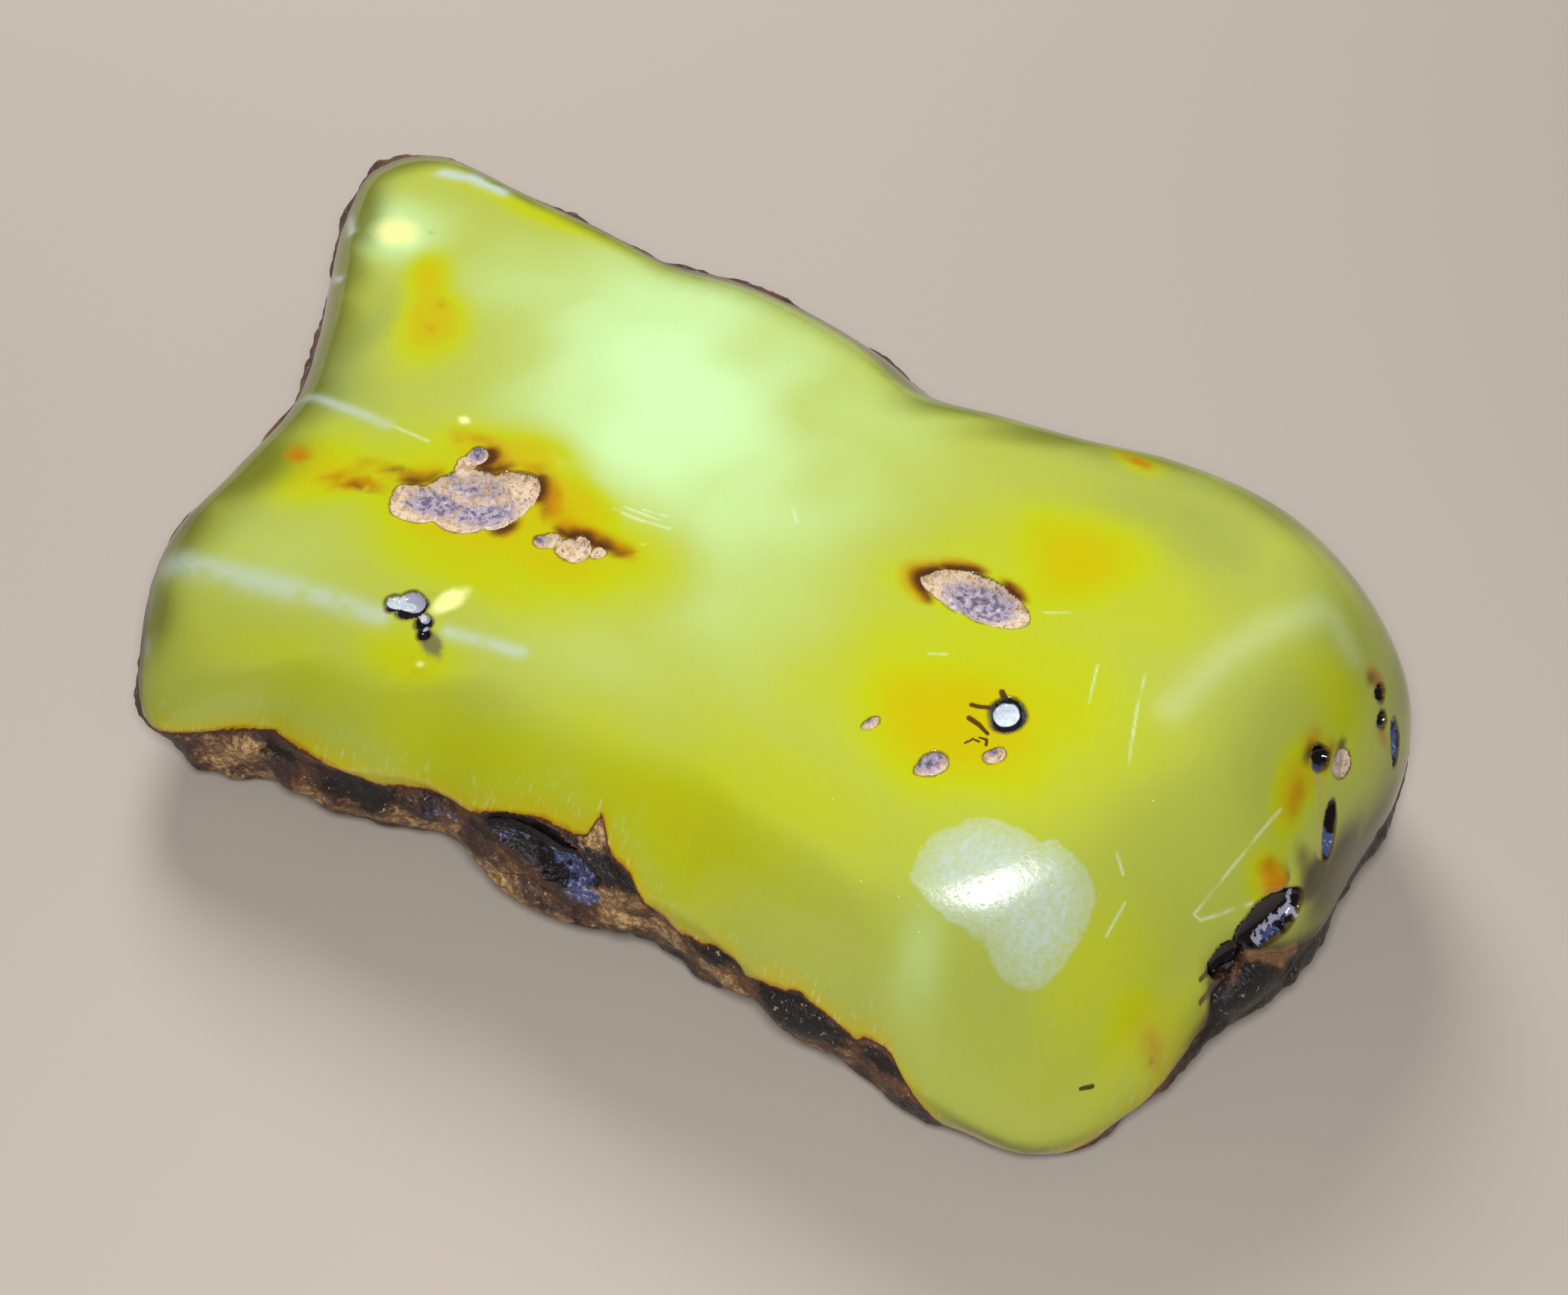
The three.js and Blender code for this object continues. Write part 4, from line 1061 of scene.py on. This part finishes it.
# Painted glints: cream specks of highlight on the grains of crust.
crust_colour = shader.mix(shader.step(grit, 0.64, 0.7) * 0.55, crust_colour, PIT_CREAM)
dark_line = (1 - shader.step(crust_gap, 0.06, 0.28)) * 0.85
crust_colour = shader.mix(dark_line, crust_colour, RUST)
colour = shader.mix(crust, colour, crust_colour)
print("nodes with the crust:", len(shader.tree.nodes))

# %% [markdown]
# The pits in the dome are windows of crust that the polisher didn't reach. Each has a cream or tan
# granular floor, a lilac and slate heart and a thin dark outline. Iron has crept out of some of
# them, and left a halo of rust inside a wider one of orange.

# %% Crusted pits
STRAW = (0.50, 0.46, 0.10, 1)
PIT_TAN = (0.54, 0.35, 0.21, 1)
PIT_LILAC = (0.44, 0.37, 0.49, 1)
PIT_SLATE = (0.19, 0.165, 0.24, 1)
HOLE_PEARL = (0.80, 0.88, 0.94, 1)

dry_gap = shader.mark("dry_pit") + ragged * 0.24 + grain * 0.16
dry = 1 - shader.step(dry_gap, -0.03, 0.03)
scorched = shader.step(shader.mark("scorched") + ragged * 0.4, 0.2, 0.8)
orange_halo = (1 - shader.step(dry_gap, 0.2, 1.3)) * scorched
rust_halo = (1 - shader.step(dry_gap, 0.12, 0.7)) * scorched
outline_ring = (1 - shader.step(dry_gap, 0.0, 0.12)) * shader.mark("top")
colour = shader.mix(orange_halo * 0.85, colour, ORANGE)
colour = shader.mix(rust_halo * 0.95, colour, RUST)
colour = shader.mix(outline_ring * 0.6, colour, RUST)
straw_lip = shader.step(shader.mark("straw_lip") * (1 + ragged * 2), 0.2, 0.7)
colour = shader.mix(straw_lip * 0.8, colour, STRAW)

speckle = shader.noise(where, 3.0, 3.0, 0.7)
pepper = shader.noise(where, 3.8, 2.0, 0.6)
heart = shader.mark("heart") + ragged * 0.5 + (speckle - 0.5) * 1.8
pit_colour = shader.mix(shader.step(speckle, 0.38, 0.54), PIT_TAN, PIT_CREAM)
pit_colour = shader.mix(shader.step(heart, 0.2, 0.7) * 0.9, pit_colour, PIT_LILAC)
dark_heart = shader.step(heart, 0.2, 0.9) * shader.step(pepper, 0.52, 0.44)
pit_colour = shader.mix(dark_heart, pit_colour, PIT_SLATE)
# Painted glints: white flecks of highlight on the grainy pit floors.
pit_colour = shader.mix(shader.step(pepper, 0.62, 0.68) * 0.5, pit_colour, HOLE_PEARL)
pit_colour = shader.mix(shader.step(pepper, 0.36, 0.3) * 0.7, pit_colour, CRUST_BROWN)
colour = shader.mix(dry, colour, pit_colour)
print("nodes with the crusted pits:", len(shader.tree.nodes))

# %% [markdown]
# Cavities are deep and dark: their black is dark crust with painted shade in the depth, and the
# slate-blue flecks on one side are painted glints. The small round holes were bubbles with shiny
# walls: the black on one side is painted shade, and the lilac and pearl on the other are painted
# light with a painted highlight. The lips between them are drawn as lines, and the white ridge
# beside the black cavity is a painted glint.

# %% Cavities and shiny holes
HOLE_BLACK = (0.010, 0.008, 0.009, 1)

cavity_gap = shader.mark("dark_cavity") + ragged * 0.2
cavity = 1 - shader.step(cavity_gap, -0.05, 0.05)
cavity_ring = (1 - shader.step(cavity_gap, 0.03, 0.22)) * shader.mark("top")
# Painted light in the cavities: blue and lilac glints over black that is partly painted shade.
cavity_light = shader.step(slate + shader.mark("lilac"), 0.45, 0.9)
cavity_colour = shader.mix(cavity_light, CRUST_BLACK, slate_colour)
colour = shader.mix(cavity_ring * 0.75, colour, RUST)
colour = shader.mix(cavity, colour, cavity_colour)
tan_lip = shader.step(shader.mark("tan_lip") * (1 + ragged * 2), 0.3, 0.8)
colour = shader.mix(tan_lip * 0.8, colour, CRUST_TAN)
# A painted glint down the ridge beside the black cavity.
painted_rib_glint = shader.step(shader.mark("rib_glint") * (1 + (grit - 0.5) * 4), 0.45, 0.9)
colour = shader.mix(painted_rib_glint * 0.75, colour, HOLE_LILAC)
hole_gap = shader.mark("shiny_hole") + ragged * 0.12
hole = 1 - shader.step(hole_gap, -0.03, 0.03)
hole_ring = (1 - shader.step(hole_gap, 0.02, 0.2)) * shader.mark("top")
# Painted light and shade in the shiny holes: black on one side, lilac and a pearl highlight on the other.
lilac = shader.step(shader.mark("lilac") + ragged * 0.5, 0.5, 0.7)
pearl = shader.step(shader.mark("pearl") + ragged * 0.4, 0.5, 0.65)
hole_colour = shader.mix(lilac, HOLE_BLACK, HOLE_LILAC)
pearl_colour = shader.mix(shader.step(grit, 0.5, 0.4) * 0.5, HOLE_PEARL, HOLE_LILAC)
hole_colour = shader.mix(pearl, hole_colour, pearl_colour)
colour = shader.mix(hole_ring * 0.7, colour, RUST)
colour = shader.mix(hole, colour, hole_colour)
print("nodes with the cavities and holes:", len(shader.tree.nodes))

# %% [markdown]
# Gloss tells polished amber from crust more than colour does. The polish is low in roughness, with
# a frosted orange-peel patch on the right shoulder and faint scuffs along the near edge. The
# frosted patch is also whitened, partly as the matt look of frost and partly as a painted highlight
# where the lamp's mark spreads over it. Crust scatters light in patches, and its black hollows are
# glossy with old skin.

# %% Gloss
frosting = shader.mark("frost") + ragged * 0.2
frost = shader.step(frosting, 0.4, 0.46)
peel = shader.noise(where, 4.5, 3.0, 0.6)
brushed = shader.node("ShaderNodeVectorMath", {"operation": "MULTIPLY"}, i0=where, i1=(6, 1.3, 1.3))
by_the_crust = shader.step(crust_gap, -2.6, -0.8) * near_side + shader.mark("scuff") * 0.3
scuffs = shader.step(shader.noise(brushed, 1.0, 3.0, 0.6), 0.55, 0.72) * by_the_crust
rough_part = shader.most(crust, dry)
# The frosted patch is whitened partly as frost and partly as a painted highlight.
frost_strength = 0.3 + shader.step(frosting, 0.4, 0.9) * 0.35
frost_and_highlight = frost * frost_strength * (0.6 + shader.step(peel, 0.3, 0.7) * 0.6)
colour = shader.mix(frost_and_highlight, colour, ICE)
colour = shader.mix(scuffs * (1 - rough_part) * 0.25, colour, PALE)
glossy_soot = shader.step(dark_skin_and_shade, 0.2, 0.7) * crust
roughness = 0.12 + frost * 0.13 + scuffs * 0.06 + rough_part * (0.26 + flecks * 0.25)
roughness = roughness - glossy_soot * 0.12 + shader.mark("scratch") * 0.2 + dry * 0.1
roughness = roughness * (1 - cavity * 0.85)
print("nodes with the gloss:", len(shader.tree.nodes))

# %% [markdown]
# The mesh already has every shape that shows in the outline. What is finer than its triangles, such
# as grains of crust, pinpricks in the polish and the depth of a scratch, is a bump. Amber bends
# light by 1.54, and light that gets in comes out again a millimetre away, which subsurface
# scattering does.

# %% Fine relief and the finished material
AMBER_IOR = 1.54
BUMP_HEIGHT = 0.3 * MM
SCATTER_RADIUS = (1.0, 0.9, 0.3)
SCATTER_SCALE = 1.5 * MM

pinpricks = shader.step(shader.noise(where, 4.5, 1.0), 0.30, 0.24) * (1 - rough_part) * 0.02
gouges = shader.mark("scratch") * 0.05 + shader.mark("crack") * 0.08
granules = shader.noise(where, 3.4, 3.0, 0.6)
crumble = shader.noise(where, 1.2, 6.0, 0.68)
crust_height = (crumble * 0.6 + granules * 0.5 + grain * 0.15) * rough_part
height = crust_height + speckle * dry * 0.25 + peel * frost * 0.04 - pinpricks - gouges
bump = shader.node("ShaderNodeBump", Strength=1.0, Distance=BUMP_HEIGHT, Height=height)

surface = shader.node(
    "ShaderNodeBsdfPrincipled",
    Base_Color=colour,
    Roughness=roughness,
    Normal=bump,
    IOR=AMBER_IOR,
    Subsurface_Weight=0.25,
    Subsurface_Radius=SCATTER_RADIUS,
    Subsurface_Scale=SCATTER_SCALE,
)
shader.finish(surface)
amber.data.materials.append(shader.material)
print("nodes in the material:", len(shader.tree.nodes))

# %% [markdown]
# The floor is plain and pale, as in a small studio. It reaches far past the edges of the picture,
# so that no edge of it shows.

# %% Floor
FLOOR_HALF = 2.0
FLOOR_COLOUR = (0.50, 0.44, 0.38, 1)

floor_mesh = bpy.data.meshes.new("floor")
corners = [(x * FLOOR_HALF, y * FLOOR_HALF, 0) for x, y in ((-1, -1), (1, -1), (1, 1), (-1, 1))]
floor_mesh.from_pydata(corners, [], [(0, 1, 2, 3)])
floor = bpy.data.objects.new("floor", floor_mesh)
bpy.context.scene.collection.objects.link(floor)
floor_shader = Shader("plain_floor")
floor_surface = floor_shader.node("ShaderNodeBsdfPrincipled", Base_Color=FLOOR_COLOUR, Roughness=0.8)
floor_shader.finish(floor_surface)
floor_mesh.materials.append(floor_shader.material)
print("floor is", 2 * FLOOR_HALF, "metres wide")

# %% [markdown]
# One small lamp close to the lens does what a camera flash does: it lights the face that the camera
# sees, and leaves one bright mark on the polish. A large soft lamp behind, a weak one at the left
# and a dim surround keep the shadow side readable. The two soft lamps aren't mirrored in the
# polish, because their round shapes would show there.

# %% Lights
def soft_lamp(name, at, target, size, power, mirrored):
    data = bpy.data.lights.new(name, "AREA")
    data.shape = "DISK"
    data.size = size * MM
    data.energy = power
    lamp = bpy.data.objects.new(name, data)
    lamp.location = Vector(at) * MM
    lamp.rotation_mode = "QUATERNION"
    lamp.rotation_quaternion = (Vector(target) * MM - lamp.location).to_track_quat("-Z", "Y")
    lamp.visible_camera = False
    lamp.visible_glossy = mirrored
    bpy.context.scene.collection.objects.link(lamp)


soft_lamp("flash", at=(43.4, -70.3, 118.9), target=(4, -2, 8), size=25, power=0.135, mirrored=True)
soft_lamp("overhead", at=(-135, 153, 170), target=(0, 0, 5), size=120, power=0.6, mirrored=False)
soft_lamp("window", at=(-260, 60, 60), target=(0, 0, 5), size=160, power=0.035, mirrored=False)

world = bpy.data.worlds.new("surround")
world.use_nodes = True
background = world.node_tree.nodes["Background"]
background.inputs["Color"].default_value = (0.92, 0.96, 1.0, 1)
background.inputs["Strength"].default_value = 0.11
bpy.context.scene.world = world
bpy.context.scene.view_settings.view_transform = "Standard"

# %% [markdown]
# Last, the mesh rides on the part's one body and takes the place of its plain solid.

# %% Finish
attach(amber, "root")
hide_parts("amber")
